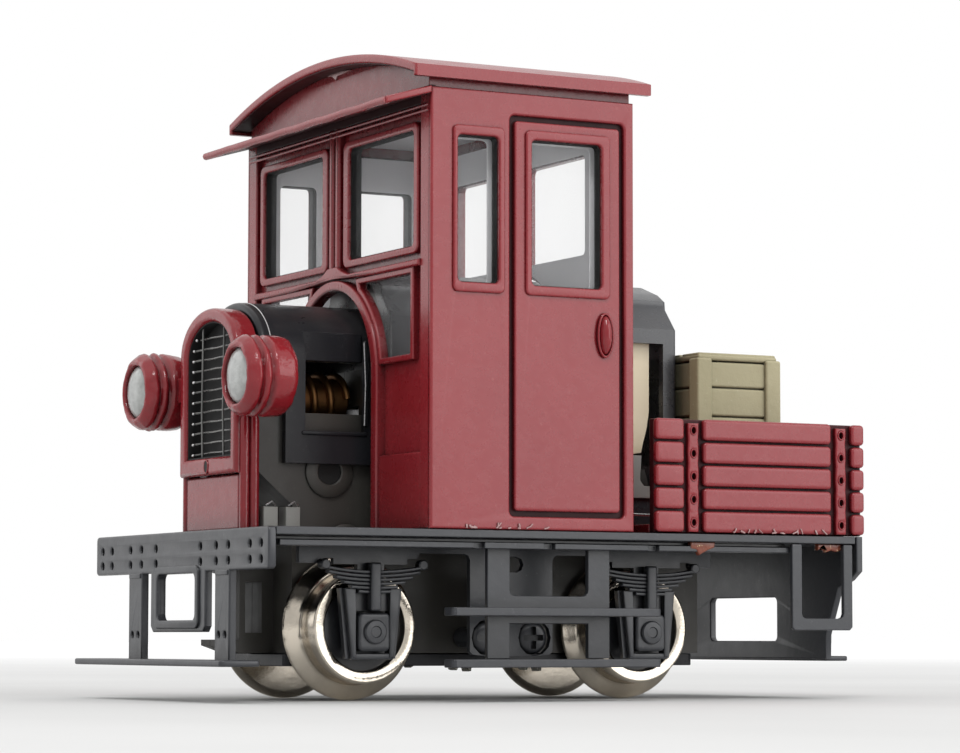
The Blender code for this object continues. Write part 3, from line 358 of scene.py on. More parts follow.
def plate_shape(loops, facing, low, high, edge=0.06, rounds=3):
    """A sheet between low and high with outline loops[0] and holes loops[1:]; edge is
    the radius of its rim at low and at high."""
    low_edge, high_edge = edge if isinstance(edge, tuple) else (edge, edge)
    turned_loops = [loop if (area(loop) > 0) == (number == 0) else loop[::-1]
                    for number, loop in enumerate(loops)]
    rings = []
    for radius, start, sign in ((low_edge, low, 1), (high_edge, high, -1)):
        steps = rounds if radius else 0
        part = []
        for step in range(steps + 1):
            turn = math.pi / 2 * step / steps if steps else math.pi / 2
            part.append((radius * (1 - math.sin(turn)), start + sign * radius * (1 - math.cos(turn))))
        rings.append(part)
    levels = rings[0] + rings[1][::-1]
    to_point = AXES[facing]
    shape = bmesh.new()
    ends = {0: [], len(levels) - 1: []}
    for loop in turned_loops:
        rows = []
        for number, (inset, depth) in enumerate(levels):
            outline = shifted(loop, inset) if inset else loop
            rows.append([shape.verts.new(to_point(u, v, depth)) for u, v in outline])
            if number in ends:
                ends[number].append((outline, rows[-1]))
        for lower, upper in zip(rows, rows[1:]):
            for i in range(len(loop)):
                j = (i + 1) % len(loop)
                shape.faces.new((lower[i], lower[j], upper[j], upper[i]))
    for cap in ends.values():
        verts = [vert for _, row in cap for vert in row]
        flat = [[Vector((u, v, 0)) for u, v in outline] for outline, _ in cap]
        for triangle in tessellate_polygon(flat):
            if len({*triangle}) == 3:
                shape.faces.new([verts[i] for i in triangle])
    return shape


def layer(side, low, high):
    """A depth range on one side of the model, in rising order."""
    return tuple(sorted((side * low, side * high)))


def outward(side):
    return "y" if side > 0 else "-y"


def plate(name, loops, facing, low, high, look, edge=0.06, rounds=3):
    return settle(name, plate_shape(loops, facing, low, high, edge, rounds), look)


def side_plate(name, side, loops, depths, look, inner=0.0, outer=0.0, rounds=3):
    """A plate on one side of the model; inner and outer are the radii of its rims."""
    edge = (inner, outer) if side > 0 else (outer, inner)
    return plate(name, loops, "side", *layer(side, *depths), look, edge, rounds=rounds)


def arc(u, v, radius, start, end, steps, radius_v=None):
    tall = radius if radius_v is None else radius_v
    angles = [math.radians(start + (end - start) * i / steps) for i in range(steps + 1)]
    return [(u + radius * math.cos(a), v + tall * math.sin(a)) for a in angles]


def circle(u, v, radius, sides=24, radius_v=None):
    return arc(u, v, radius, 0, 360 - 360 / sides, sides - 1, radius_v)


def rectangle(u, v, corner=0.0, steps=5):
    if not corner:
        return [(u[0], v[0]), (u[1], v[0]), (u[1], v[1]), (u[0], v[1])]
    points = []
    for at_u, at_v, start in ((1, 0, -90), (1, 1, 0), (0, 1, 90), (0, 0, 180)):
        centre = (u[at_u] + (-corner if at_u else corner), v[at_v] + (-corner if at_v else corner))
        points += arc(*centre, corner, start, start + 90, steps)
    return points


def mirrored(points, about=0.0):
    return points + [(2 * about - u, v) for u, v in reversed(points)]


def anticlockwise(loop):
    return loop if area(loop) > 0 else loop[::-1]


def flipped(points, side):
    return [(side * u, v) for u, v in points]


def arch(half, spring, rise, bottom, steps=40):
    return [(half, bottom)] + arc(0, spring, half, 0, 180, steps, rise) + [(-half, bottom)]


def brick(name, x, y, z, look, edge=0.08, facing="flat", corner=None):
    """A block with all its edges rounded."""
    pairs = {"flat": (x, y, z), "side": (x, z, y), "end": (y, z, x)}[facing]
    u, v, w = (tuple(sorted(pair)) for pair in pairs)
    outline = rectangle(u, v, edge if corner is None else corner, 3)
    return plate(name, [outline], facing, *w, look, edge)


def lathe(name, profile, axis, origin, look, body="chassis", steps=72, angle=38):
    """A solid of revolution; profile points are (radius, distance along the axis)."""
    along, sign = axis[-1], -1 if axis[0] == "-" else 1
    shape = bmesh.new()
    rows = []
    for radius, distance in profile:
        row = []
        for step in range(steps if radius else 1):
            turn = 2 * math.pi * step / steps
            a, b, c = radius * math.cos(turn), radius * math.sin(turn), sign * distance
            offset = {"x": (c, a, b), "y": (a, c, b), "z": (a, b, c)}[along]
            row.append(shape.verts.new(at(*(o + d for o, d in zip(origin, offset)))))
        rows.append(row)
    closed = profile[0][0] > 0 and profile[-1][0] > 0
    for first, second in zip(rows, rows[1:] + (rows[:1] if closed else [])):
        for i in range(steps):
            j = (i + 1) % steps
            corners = [first[i % len(first)], first[j % len(first)], second[j % len(second)],
                       second[i % len(second)]]
            corners = list(dict.fromkeys(corners))
            if len(corners) > 2:
                shape.faces.new(corners)
    return settle(name, shape, look, body, angle, False)


def wire(name, points, radius, look, body="chassis", closed=False, sides=8):
    """A round wire through points of the layout."""
    path = [at(*point) for point in points]
    count = len(path)
    shape = bmesh.new()
    rows = []
    across = None
    for i, point in enumerate(path):
        before = path[i - 1] if closed or i else point
        after = path[(i + 1) % count] if closed or i < count - 1 else point
        ahead = (after - before).normalized()
        if across is None:
            across = ahead.orthogonal().normalized()
        across = (across - ahead * across.dot(ahead)).normalized()
        other = ahead.cross(across)
        rows.append([shape.verts.new(point + radius * MM * (math.cos(t) * across + math.sin(t) * other))
                     for t in (2 * math.pi * k / sides for k in range(sides))])
    for first, second in zip(rows, rows[1:] + (rows[:1] if closed else [])):
        for k in range(sides):
            shape.faces.new((first[k], first[(k + 1) % sides], second[(k + 1) % sides], second[k]))
    if not closed:
        shape.faces.new(rows[0][::-1])
        shape.faces.new(rows[-1])
    return settle(name, shape, look, body, 50, False)


def dome(name, centre, size, look):
    """A smooth egg-shaped lump."""
    shape = bmesh.new()
    bmesh.ops.create_uvsphere(shape, u_segments=32, v_segments=20, radius=MM)
    for vert in shape.verts:
        vert.co = at(*centre) + Vector(c * s for c, s in zip(vert.co, size))
    return settle(name, shape, look, angle=80, weighted=False)


def carve(obj, *cutters):
    """Cuts shapes out of a piece; each cutter is a closed bmesh."""
    helpers = []
    for number, cutter in enumerate(cutters):
        bmesh.ops.recalc_face_normals(cutter, faces=cutter.faces)
        helper = enter("cutter", to_mesh("cutter", cutter))
        helpers.append(helper)
        modifier = obj.modifiers.new(f"cut_{number}", "BOOLEAN")
        modifier.operation = "DIFFERENCE"
        modifier.object = helper
        modifier.solver = "EXACT"
    for modifier in [m for m in obj.modifiers if m.type == "WEIGHTED_NORMAL"]:
        obj.modifiers.remove(modifier)
    view = bpy.context.evaluated_depsgraph_get()
    mesh = bpy.data.meshes.new_from_object(obj.evaluated_get(view))
    obj.modifiers.clear()
    obj.data = mesh
    mesh.set_sharp_from_angle(angle=math.radians(35))
    for helper in helpers:
        bpy.data.objects.remove(helper)
    obj.modifiers.new("flat_faces", "WEIGHTED_NORMAL").keep_sharp = True
    return obj


def block_shape(x, y, z):
    return plate_shape([rectangle(x, y)], "flat", *z, 0.0)


def stands_for(obj, *nodes):
    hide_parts(*nodes)


# ------------------------ cab

HALF_WIDTH = 11.2
DECK = 7.83
CAB_FRONT, CAB_REAR = 8.65, 20.42
WALL_TOP = 30.0
ROOF_CROWN, ROOF_RADIUS = 32.78, 38.4
ROOF_UNDER = ROOF_RADIUS - 0.45
ROOF_FRONT, ROOF_REAR, ROOF_HALF = 7.6, 21.35, 11.5
EAVE_BOTTOM = 30.42
QUARTER = ((10.1, 12.45), (20.2, 27.65))
DOOR_WINDOW = ((14.35, 18.45), (20.2, 27.65))


def roof_curve(half, radius=ROOF_RADIUS, steps=48):
    centre = ROOF_CROWN - ROOF_RADIUS
    across = [half * (1 - 2 * i / steps) for i in range(steps + 1)]
    return [(y, centre + math.sqrt(radius ** 2 - y ** 2)) for y in across]


def make_cab_side(name, side):
    quarter, door = rectangle(*QUARTER, 0.25), rectangle(*DOOR_WINDOW, 0.25)
    wall = rectangle((CAB_FRONT + 0.01, CAB_REAR - 0.01), (DECK, WALL_TOP))
    # the base wall shows only at the bottom of the door groove; its very dark maroon is painted shade
    base = side_plate(f"cab_wall_{name}", side, [wall, quarter, door], (10.75, 10.93), "maroon_deep", 0.06)
    brick(f"cab_cornice_{name}", (8.7, 20.35), layer(side, 10.35, 10.86), (29.6, 30.7), "maroon", 0.04)
    doorway = rectangle((13.15, 19.85), (8.5, 28.85), 0.28)
    skin = rectangle((CAB_FRONT, CAB_REAR), (DECK, WALL_TOP))
    side_plate(f"cab_skin_{name}", side, [skin, quarter, doorway], (10.93, HALF_WIDTH), "maroon",
               outer=0.13, rounds=4)
    side_plate(f"cab_door_{name}", side, [rectangle((13.42, 19.58), (8.78, 28.58), 0.2), door],
               (10.9, HALF_WIDTH), "maroon", outer=0.1, rounds=4)
    for window, (x, z), frame_x in (("quarter", QUARTER, (9.85, 12.8)),
                                    ("door", DOOR_WINDOW, (14.0, 18.95))):
        opening = rectangle(x, z, 0.25)
        frame_z = (z[0] - 0.5, z[1] + 0.5)
        side_plate(f"cab_{window}_frame_{name}", side, [rectangle(frame_x, frame_z, 0.3), opening],
                   (11.1, 11.36), "maroon", outer=0.1, rounds=4)
        side_plate(f"cab_{window}_reveal_{name}", side, [opening, shifted(opening, 0.04)],
                   (10.6, 11.14), "shadow_black")
    holes = [rectangle((x[0] + 0.05, x[1] - 0.05), (z[0] + 0.05, z[1] - 0.05), 0.3)
             for x, z in (QUARTER, DOOR_WINDOW)]
    side_plate(f"cab_lining_{name}", side, [rectangle((9.35, 19.7), (16.3, 29.5)), *holes],
               (10.05, 10.12), "lining", 0.02, 0.02)
    dome(f"cab_handle_{name}", (18.62, side * 11.28, 17.85), (0.34, 0.5, 1.0), "maroon_gloss")
    loop = [(18.64 + u, side * (11.3 + 0.06 * math.cos(v)), 17.85 + v)
            for u, v in circle(0, 0, 0.42, 40, 1.1)]
    wire(f"cab_handle_rim_{name}", loop, 0.07, "maroon_gloss", closed=True, sides=12)
    # the dark ring round the handle is painted shade
    side_plate(f"cab_handle_rose_{name}", side, [circle(18.64, 17.85, 0.44, 32, 1.1)], (11.15, 11.24),
               "maroon_deep", outer=0.04)
    return base


def ledge_line(low, high, rise, centre):
    """The moulding under the front windows, which rises to a shallow peak at the mullion."""
    top = [(-10.05, high), (-1.9, high), (-1.1, high + rise * 0.45), (-0.55, high + rise),
           (0.55, high + rise), (1.1, high + rise * 0.45), (1.9, high), (10.05, high)]
    bottom = [(10.05, low), (5.2, low), (2.4, low + centre * 0.5), (0.0, low + centre),
              (-2.4, low + centre * 0.5), (-5.2, low), (-10.05, low)]
    return top + bottom


def front_plate(name, loops, start, edge, look="maroon", rounds=4):
    """Relief on the cab's front wall, from start behind the face to the wall behind it."""
    return plate(name, loops, "end", CAB_FRONT + start, CAB_FRONT + 0.38, look, (edge, 0.0), rounds=rounds)


def make_cab_front():
    windows = [rectangle(layer(k, 1.6, 9.1), (22.15, 28.05), 0.3) for k in (-1, 1)]
    lower = [(8.9, 16.7), (8.9, 20.77), (3.0, 20.77)] + arc(0, 15.8, 5.65, 57, 9, 12)
    lows = [flipped(lower, k) for k in (-1, 1)]
    wall = rectangle((-10.9, 10.9), (DECK, WALL_TOP))
    face, back = CAB_FRONT, 9.1
    base = plate("cab_front_wall", [wall, *windows, *lows], "end", face + 0.34, back, "maroon", 0.02)
    carve(base, plate_shape([arch(4.75, 15.9, 4.75, DECK - 2)], "end", face - 2, back + 2, 0.0))
    for number, (window, low, k) in enumerate(zip(windows, lows, (-1, 1))):
        frame = rectangle(layer(k, 0.95, 9.6), (21.75, 28.45), 0.45)
        front_plate(f"cab_front_frame_{number}", [frame, window], 0.04, 0.1)
        plate(f"cab_front_reveal_{number}", [window, shifted(anticlockwise(window), 0.04)], "end",
              face + 0.2, back + 0.35, "shadow_black", 0.0)
        post = rectangle(layer(k, 9.98, 11.08), (DECK, WALL_TOP))
        front_plate(f"cab_front_post_{number}", [post], 0.0, 0.1)
        mullion = rectangle(layer(k, 0.1, 0.62), (21.5, 29.3), 0.1)
        front_plate(f"cab_mullion_{number}", [mullion], -0.05, 0.16)
        front_plate(f"cab_lower_frame_{number}", [shifted(anticlockwise(low), -0.32), low], -0.02, 0.1)
        foot = flipped([(5.2, DECK), (10.05, DECK), (10.05, 11.7), (5.2, 11.7)], k)
        front_plate(f"cab_front_foot_{number}", [foot], 0.03, 0.1, rounds=3)
    front_plate("cab_ledge", [ledge_line(21.05, 21.4, 0.5, 0.2)], -0.16, 0.13)
    rim = arch(5.4, 15.9, 5.28, DECK) + arch(4.75, 15.9, 4.75, DECK)[::-1]
    front_plate("cab_arch_rim", [rim], -0.18, 0.13)
    for number, z in enumerate((28.86, 29.12)):
        wire(f"cab_rain_rail_{number}", [(face + 0.02, -10.9, z), (face + 0.02, 10.9, z)], 0.09, "maroon")
    # painted shade: the band just under the visor is painted very dark for the visor's shadow
    front_plate("cab_head_band", [rectangle((-10.9, 10.9), (29.2, WALL_TOP + 0.1))], 0.02, 0.08,
                "maroon_deep", rounds=3)
    gable = [(-10.8, WALL_TOP - 0.1), (10.8, WALL_TOP - 0.1)]
    gable += roof_curve(10.8, ROOF_UNDER - 0.03)
    for end, x in (("front", (face + 0.06, back)), ("rear", (19.97, 20.38))):
        plate(f"cab_gable_{end}", [gable], "end", *x, "maroon", 0.05)


def make_cab_rear():
    windows = [rectangle(layer(k, 0.6, 7.55), (22.45, 27.75), 0.3) for k in (-1, 1)]
    wall = rectangle((-10.9, 10.9), (DECK, WALL_TOP))
    base = plate("cab_rear_wall", [wall, *windows], "end", 19.97, CAB_REAR - 0.02, "maroon", 0.08)
    carve(base, plate_shape([arch(4.95, 16.7, 5.2, DECK - 2)], "end", 18.0, 22.0, 0.0))
    sheet = rectangle((-10.0, 10.0), (16.3, 29.5))
    lining = plate("cab_lining_rear", [sheet, *windows], "end", 19.6, 19.67, "lining", 0.02)
    carve(lining, plate_shape([arch(5.2, 16.7, 5.5, DECK - 2)], "end", 18.0, 22.0, 0.0))
    plate("cab_ceiling", [rectangle((9.3, 19.7), (-10.0, 10.0))], "flat", 30.1, 30.18, "lining", 0.02)
    for number, (window, k) in enumerate(zip(windows, (-1, 1))):
        frame = rectangle(layer(k, 0.28, 7.95), (22.05, 28.15), 0.4)
        plate(f"cab_rear_frame_{number}", [frame, window], "end", CAB_REAR - 0.1, CAB_REAR + 0.12,
              "maroon", (0.0, 0.1), rounds=4)
    rim = arch(5.5, 16.7, 5.75, DECK) + arch(4.95, 16.7, 5.2, DECK)[::-1]
    plate("cab_rear_rim", [rim], "end", CAB_REAR - 0.1, CAB_REAR + 0.1, "maroon", (0.0, 0.09))


def make_roof():
    rail = 0.3
    outline = roof_curve(ROOF_HALF) + [(-ROOF_HALF, EAVE_BOTTOM), (rail - ROOF_HALF, EAVE_BOTTOM)]
    outline += roof_curve(ROOF_HALF - rail, ROOF_UNDER)[::-1]
    outline += [(ROOF_HALF - rail, EAVE_BOTTOM), (ROOF_HALF, EAVE_BOTTOM)]
    stands_for(plate("roof_sheet", [outline], "end", ROOF_FRONT, ROOF_REAR, "maroon", 0.12, rounds=4),
               "cab_roof")
    sheet = [(6.05, 28.9), (8.62, 29.65), (8.62, 30.01), (6.05, 29.26)]
    stands_for(plate("visor_sheet", [sheet], "side", -11.35, 11.35, "maroon", 0.1, rounds=4), "cab_visor")
    # painted shade: a very dark sheet under the visor
    under = [(6.25, 28.93), (8.6, 29.62), (8.6, 29.66), (6.25, 28.97)]
    plate("visor_painted_shade", [under], "side", -11.2, 11.2, "maroon_deep", 0.0)
    # painted shade: very dark sheets under the roof's overhangs at front and rear
    soffit = roof_curve(ROOF_HALF - rail, ROOF_UNDER - 0.05)
    soffit += roof_curve(ROOF_HALF - rail, ROOF_UNDER + 0.02)[::-1]
    for end, x in (("front", (ROOF_FRONT + 0.15, CAB_FRONT + 0.05)),
                   ("rear", (CAB_REAR - 0.05, ROOF_REAR - 0.15))):
        plate(f"roof_soffit_painted_shade_{end}", [soffit], "end", *x, "maroon_deep", 0.0)
    edge = [(6.12, y, 29.08 + 0.02 * math.sin(y * 1.7)) for y in (i * 0.5 - 11.25 for i in range(46))]
    wire("visor_bead", edge, 0.2, "maroon")


# ------------------------ radiator, lamps, cover

GRILLE_ROWS, GRILLE_PITCH = 12, 0.545
MOUTH_HALF, MOUTH_SPRING, MOUTH_RISE = 2.9, 16.85, 1.85


def make_radiator():
    opening = arch(MOUTH_HALF, MOUTH_SPRING, MOUTH_RISE, 11.65)
    shell = plate("radiator_casting", [arch(3.6, 17.05, 2.35, 10.75), opening], "end", 1.4, 2.65,
                  "maroon_gloss", (0.24, 0.08), rounds=5)
    plate("radiator_drain", [circle(0, 11.18, 0.2, 24, 0.3)], "end", 1.37, 1.45, "shadow_black", 0.0)
    rim = [(1.4, y, z) for y, z in circle(0, 11.18, 0.24, 24, 0.34)]
    wire("radiator_drain_rim", rim, 0.05, "maroon_gloss", closed=True)
    stands_for(shell, "radiator_shell")
    plate("radiator_core", [arch(2.95, 16.9, 1.9, 11.6)], "end", 2.3, 2.45, "shadow_black", 0.0)
    plate("radiator_liner", [opening, arch(2.83, 16.84, 1.8, 11.72)], "end", 1.62, 2.4, "shadow_black", 0.0)
    first = None
    for row in range(GRILLE_ROWS):
        z = 11.95 + row * GRILLE_PITCH
        reach = 2.8
        if z >= 17.1:
            reach *= math.sqrt(max(0.05, 1 - ((z - MOUTH_SPRING) / MOUTH_RISE) ** 2))
        points = []
        for step in range(25):
            y = 0.88 * reach * (1 - step / 12)
            hook = math.exp(-((y - 2.2) / 0.16) ** 2)
            ripple = 0.012 * math.sin(2.6 * y + 1.7 * row)
            points.append((2.0 - 0.4 * hook, y, z - 0.09 * hook + ripple))
        made = wire(f"grille_wire_{row}", points, 0.06, "wire")
        bead = dome(f"grille_bead_{row}", (1.62, min(2.2, 0.8 * reach), z - 0.08), (0.08, 0.1, 0.08),
                    "steel")
        first = first or made
    for number, y in enumerate((-1.35, 1.35)):
        top = MOUTH_SPRING + 1.8 * math.sqrt(1 - (y / MOUTH_HALF) ** 2)
        points = [(1.78, y, 11.7), (1.74, y + 0.02, 14.0), (1.78, y, top)]
        wire(f"grille_post_{number}", points, 0.06, "wire")
    stands_for(first, "radiator_grille")
    stands_for(brick("radiator_foot", (1.75, 2.62), (-3.35, 3.35), (DECK, 10.72), "maroon", 0.16,
                     facing="end"), "radiator_base")
    column = [(0, 0), (0.26, 0), (0.26, 5.6), (0.2, 5.8), (0, 5.85)]
    for name, side in SIDES:
        for number, (x, y) in enumerate(((1.95, 3.62), (2.42, 3.74))):
            lathe(f"radiator_column_{name}_{number}", column, "z", (x, side * y, DECK), "maroon_gloss",
                  steps=24)


def make_lamps():
    ridged = [(0, 0.5), (1.42, 0.5), (1.42, 0.1), (1.47, 0.0), (1.58, -0.03), (1.72, 0.04), (1.88, 0.2),
              (2.0, 0.4), (2.04, 0.52), (2.0, 0.62), (1.9, 0.68), (1.85, 0.76), (1.9, 0.84), (2.03, 0.9),
              (2.06, 1.0), (2.03, 1.1), (1.9, 1.17), (1.84, 1.26), (1.89, 1.36), (2.02, 1.44),
              (2.05, 1.56), (2.04, 1.8), (2.02, 2.1), (1.97, 2.4), (1.88, 2.6), (1.7, 2.7), (0, 2.75)]
    lens = [(0, -0.14), (0.35, -0.13), (0.7, -0.07), (1.0, 0.02), (1.25, 0.13), (1.38, 0.24),
            (1.41, 0.34), (1.41, 0.5), (0, 0.52)]
    for name, side in SIDES:
        origin = (0.05, side * 6.55, 15.43)
        body = lathe(f"lamp_drum_{name}", ridged, "x", origin, "maroon_gloss", steps=80, angle=60)
        wobble = body.modifiers.new("cast_ripple", "DISPLACE")
        texture = bpy.data.textures.new(f"lamp_ripple_{name}", "CLOUDS")
        texture.noise_scale = 0.0009
        wobble.texture = texture
        wobble.strength = 0.0002
        wobble.texture_coords = "LOCAL"
        stands_for(body, f"headlamp_{name}")
        brick(f"lamp_arm_{name}", (1.7, 2.5), layer(side, 3.5, 5.4), (14.75, 16.1), "maroon_gloss", 0.14)
        stands_for(lathe(f"lamp_glass_{name}", lens, "x", origin, "lens", angle=60), f"lamp_lens_{name}")


SHAFT_Z = sum(corner.z for corner in box_mm("motor_rotor")) / 2
WORM_PITCH, WORM_TURNS, WORM_CORE, THREAD_RISE = math.pi * 0.3, 3.5, 1.115, 0.14
STEPS_PER_TURN = 40


def make_motor_cover():
    hood = plate("hood_moulding", [arch(3.9, 16.6, 3.15, 11.3)], "end", 2.75, 10.25, "cover_black",
                 (0.3, 0.0), rounds=5)
    carve(hood, plate_shape([arch(3.5, 16.6, 2.75, 5.0)], "end", 3.15, 12.0, 0.0),
          block_shape((5.2, 8.6), (-6, 6), (12.95, 18.1)),
          block_shape((2.0, 3.5), (-6, 6), (10.0, 16.9)),
          block_shape((3.0, 4.1), (-6, 6), (10.0, 14.0)))
    half = [(4.2, 8.1), (4.2, 19.1), (3.15, 20.3), (3.1, 20.75), (2.45, 21.15), (0.8, 21.7)]
    hump = plate("hump_moulding", [mirrored(half)], "end", 9.9, 27.3, "hump_black", (0.1, 0.25), rounds=4)
    half = [(3.75, 6.0), (3.75, 18.85), (2.75, 20.0), (1.5, 20.9)]
    carve(hump, plate_shape([mirrored(half)], "end", 10.3, 26.9, 0.0),
          block_shape((20.9, 26.42), (-6, 6), (10.3, 18.3)))
    stands_for(hump, "motor_cover")
    # painted highlight: a thin bright steel wire along the hood's front edge stands for the light caught
    # there
    rim = [(3.35, y, z) for y, z in arc(0, 16.6, 3.89, 0, 180, 40, 3.14)]
    wire("hood_rim_painted_highlight", rim, 0.035, "steel", sides=6)
    for name, side in SIDES:
        brick(f"hood_fin_{name}", (8.45, 8.7), layer(side, 3.84, 4.12), (13.3, 17.7), "cover_black", 0.07)
        # painted highlight: a bright steel wire along the fin's edge stands for its highlight
        edge = [(8.42, side * 4.1, 17.6), (8.5, side * 4.14, 15.4), (8.45, side * 4.12, 13.3)]
        wire(f"hood_fin_painted_highlight_{name}", edge, 0.04, "steel", sides=6)
        brick(f"hood_lip_{name}", (5.0, 8.7), layer(side, 3.7, 4.0), (12.75, 12.97), "cover_black", 0.08)
        brick(f"hood_baffle_{name}", (5.2, 8.6), layer(side, 2.6, 3.5), (16.6, 18.1), "cover_black", 0.06)
        brick(f"hood_sill_{name}", (5.2, 8.4), layer(side, 2.2, 3.3), (13.0, 13.85), "smoked_nylon", 0.1)


def make_under_cover():
    """What shows beside and under the cover: flywheel, card, cradles, leads, contacts, bosses."""
    sleeve = [(0.5, -2.93), (2.83, -2.93), (2.93, -2.85), (2.93, -0.12), (2.83, 0.02), (0.5, 0.02)]
    shaft_end = box_mm("motor_rotor")[1].x
    lathe("flywheel_turning", sleeve, "x", (shaft_end, 0.0, SHAFT_Z), "flywheel", "rotor", steps=96)
    card = [(21.0, 12.6), (24.2, 12.5), (24.8, 12.3), (25.4, 12.4), (25.55, 13.0), (25.75, 13.7),
            (25.9, 14.6), (25.92, 18.5), (21.0, 18.5)]
    plate("insulating_card", [card], "side", -3.56, -3.46, "card", 0.02)
    cradle = [(23.0, 9.9), (25.85, 9.9), (25.85, 10.56), (25.1, 10.56), (24.88, 10.8), (24.84, 10.95),
              (24.93, 12.2), (23.0, 12.2)]
    for name, side in SIDES:
        side_plate(f"motor_cradle_{name}", side, [cradle], (4.22, 4.42), "grey_nylon", 0.05, 0.05)
        lead = [(20.6, side * 8.0, 8.95), (22.2, side * 8.02, 8.87), (23.7, side * 8.0, 8.84)]
        wire(f"lead_wire_{name}", lead, 0.07, "steel")
        for number, x in enumerate((3.3, 4.55)):
            brick(f"contact_block_{name}_{number}", (x - 0.4, x + 0.4), layer(side, 3.0, 3.9),
                  (DECK, 9.05), "grey_nylon", 0.04)
            bent = [(x - 0.3, side * 3.95, 9.1), (x, side * 4.05, 9.3), (x + 0.25, side * 3.9, 9.12)]
            wire(f"contact_wire_{name}_{number}", bent, 0.05, "steel", sides=6)
        for number, (x, z, radius) in enumerate(((6.75, 10.9, 1.33), (7.71, 7.14, 1.1))):
            ring = [(radius, 0.0), (radius, 0.14), (radius - 0.08, 0.2), (0.72, 0.2), (0.66, 0.14),
                    (0.66, 0.0)]
            lathe(f"case_boss_{name}_{number}", ring, outward(side), (x, side * 3.44, z),
                  "smoked_nylon", steps=48)
            bore = [(0, 0.0), (0.66, 0.0), (0.66, 0.05), (0, 0.05)]
            lathe(f"case_bore_{name}_{number}", bore, outward(side), (x, side * 3.43, z),
                  "shadow_black", steps=32)


def make_worm():
    """The brass worm, wound round its core at the pitch of the wheel's teeth."""
    low, high = box_mm("worm")
    length, bevel = high.x - low.x, 0.05
    profile = [(0.45, 0.0), (WORM_CORE - bevel, 0.0), (WORM_CORE, bevel), (WORM_CORE, length - bevel),
               (WORM_CORE - bevel, length), (0.45, length)]
    stands_for(lathe("worm_core", profile, "x", (low.x, 0.0, SHAFT_Z), "brass", "rotor", steps=64), "worm")
    wheel_x = sum(corner.x for corner in box_mm("worm_gear")) / 2
    start = wheel_x + WORM_PITCH / 2 - WORM_TURNS / 2 * WORM_PITCH
    radius = WORM_CORE + THREAD_RISE
    points = []
    for step in range(int(WORM_TURNS * STEPS_PER_TURN) + 1):
        turn = step / STEPS_PER_TURN
        angle = 2 * math.pi * (turn - WORM_TURNS / 2 - 0.25)
        points.append((start + turn * WORM_PITCH, radius * math.cos(angle),
                       SHAFT_Z + radius * math.sin(angle)))
    wire("worm_winding", points, 0.2, "brass", "rotor", sides=12)


def make_torn_paint():
    """Slivers of torn paint along the foot of the bed and the cab, and near the roof's crown."""
    seeded = random.Random(7)
    foot = DECK + 0.06
    for name, side in SIDES:
        for edge, start, end, count in (("bed", 26.2, 32.4, 16), ("cab", 10.2, 16.2, 12)):
            for number in range(count):
                x = seeded.uniform(start, end)
                reach, rise = seeded.uniform(-0.35, 0.35), seeded.uniform(0.02, 0.28)
                points = [(x, side * 11.22, foot), (x + reach * 0.6, side * 11.27, foot + rise * 0.5),
                          (x + reach, side * 11.25, foot + rise)]
                wire(f"torn_{edge}_{name}_{number}", points, seeded.uniform(0.025, 0.055), "flake", sides=6)
    flake = [(1.5, 32.36), (0.3, 32.16), (-0.12, 31.9), (-0.3, 32.1), (-1.9, 32.18), (-0.4, 32.34),
             (0.4, 32.32)]
    plate("torn_crown", [flake], "end", CAB_FRONT - 0.02, CAB_FRONT + 0.1, "flake", (0.02, 0.0))


# ------------------------ load bed and crate

BED_FRONT, BED_REAR, BED_TOP = 21.75, 34.7, 13.8
PLANKS = 5
PLANK_PITCH = (BED_TOP - DECK) / PLANKS


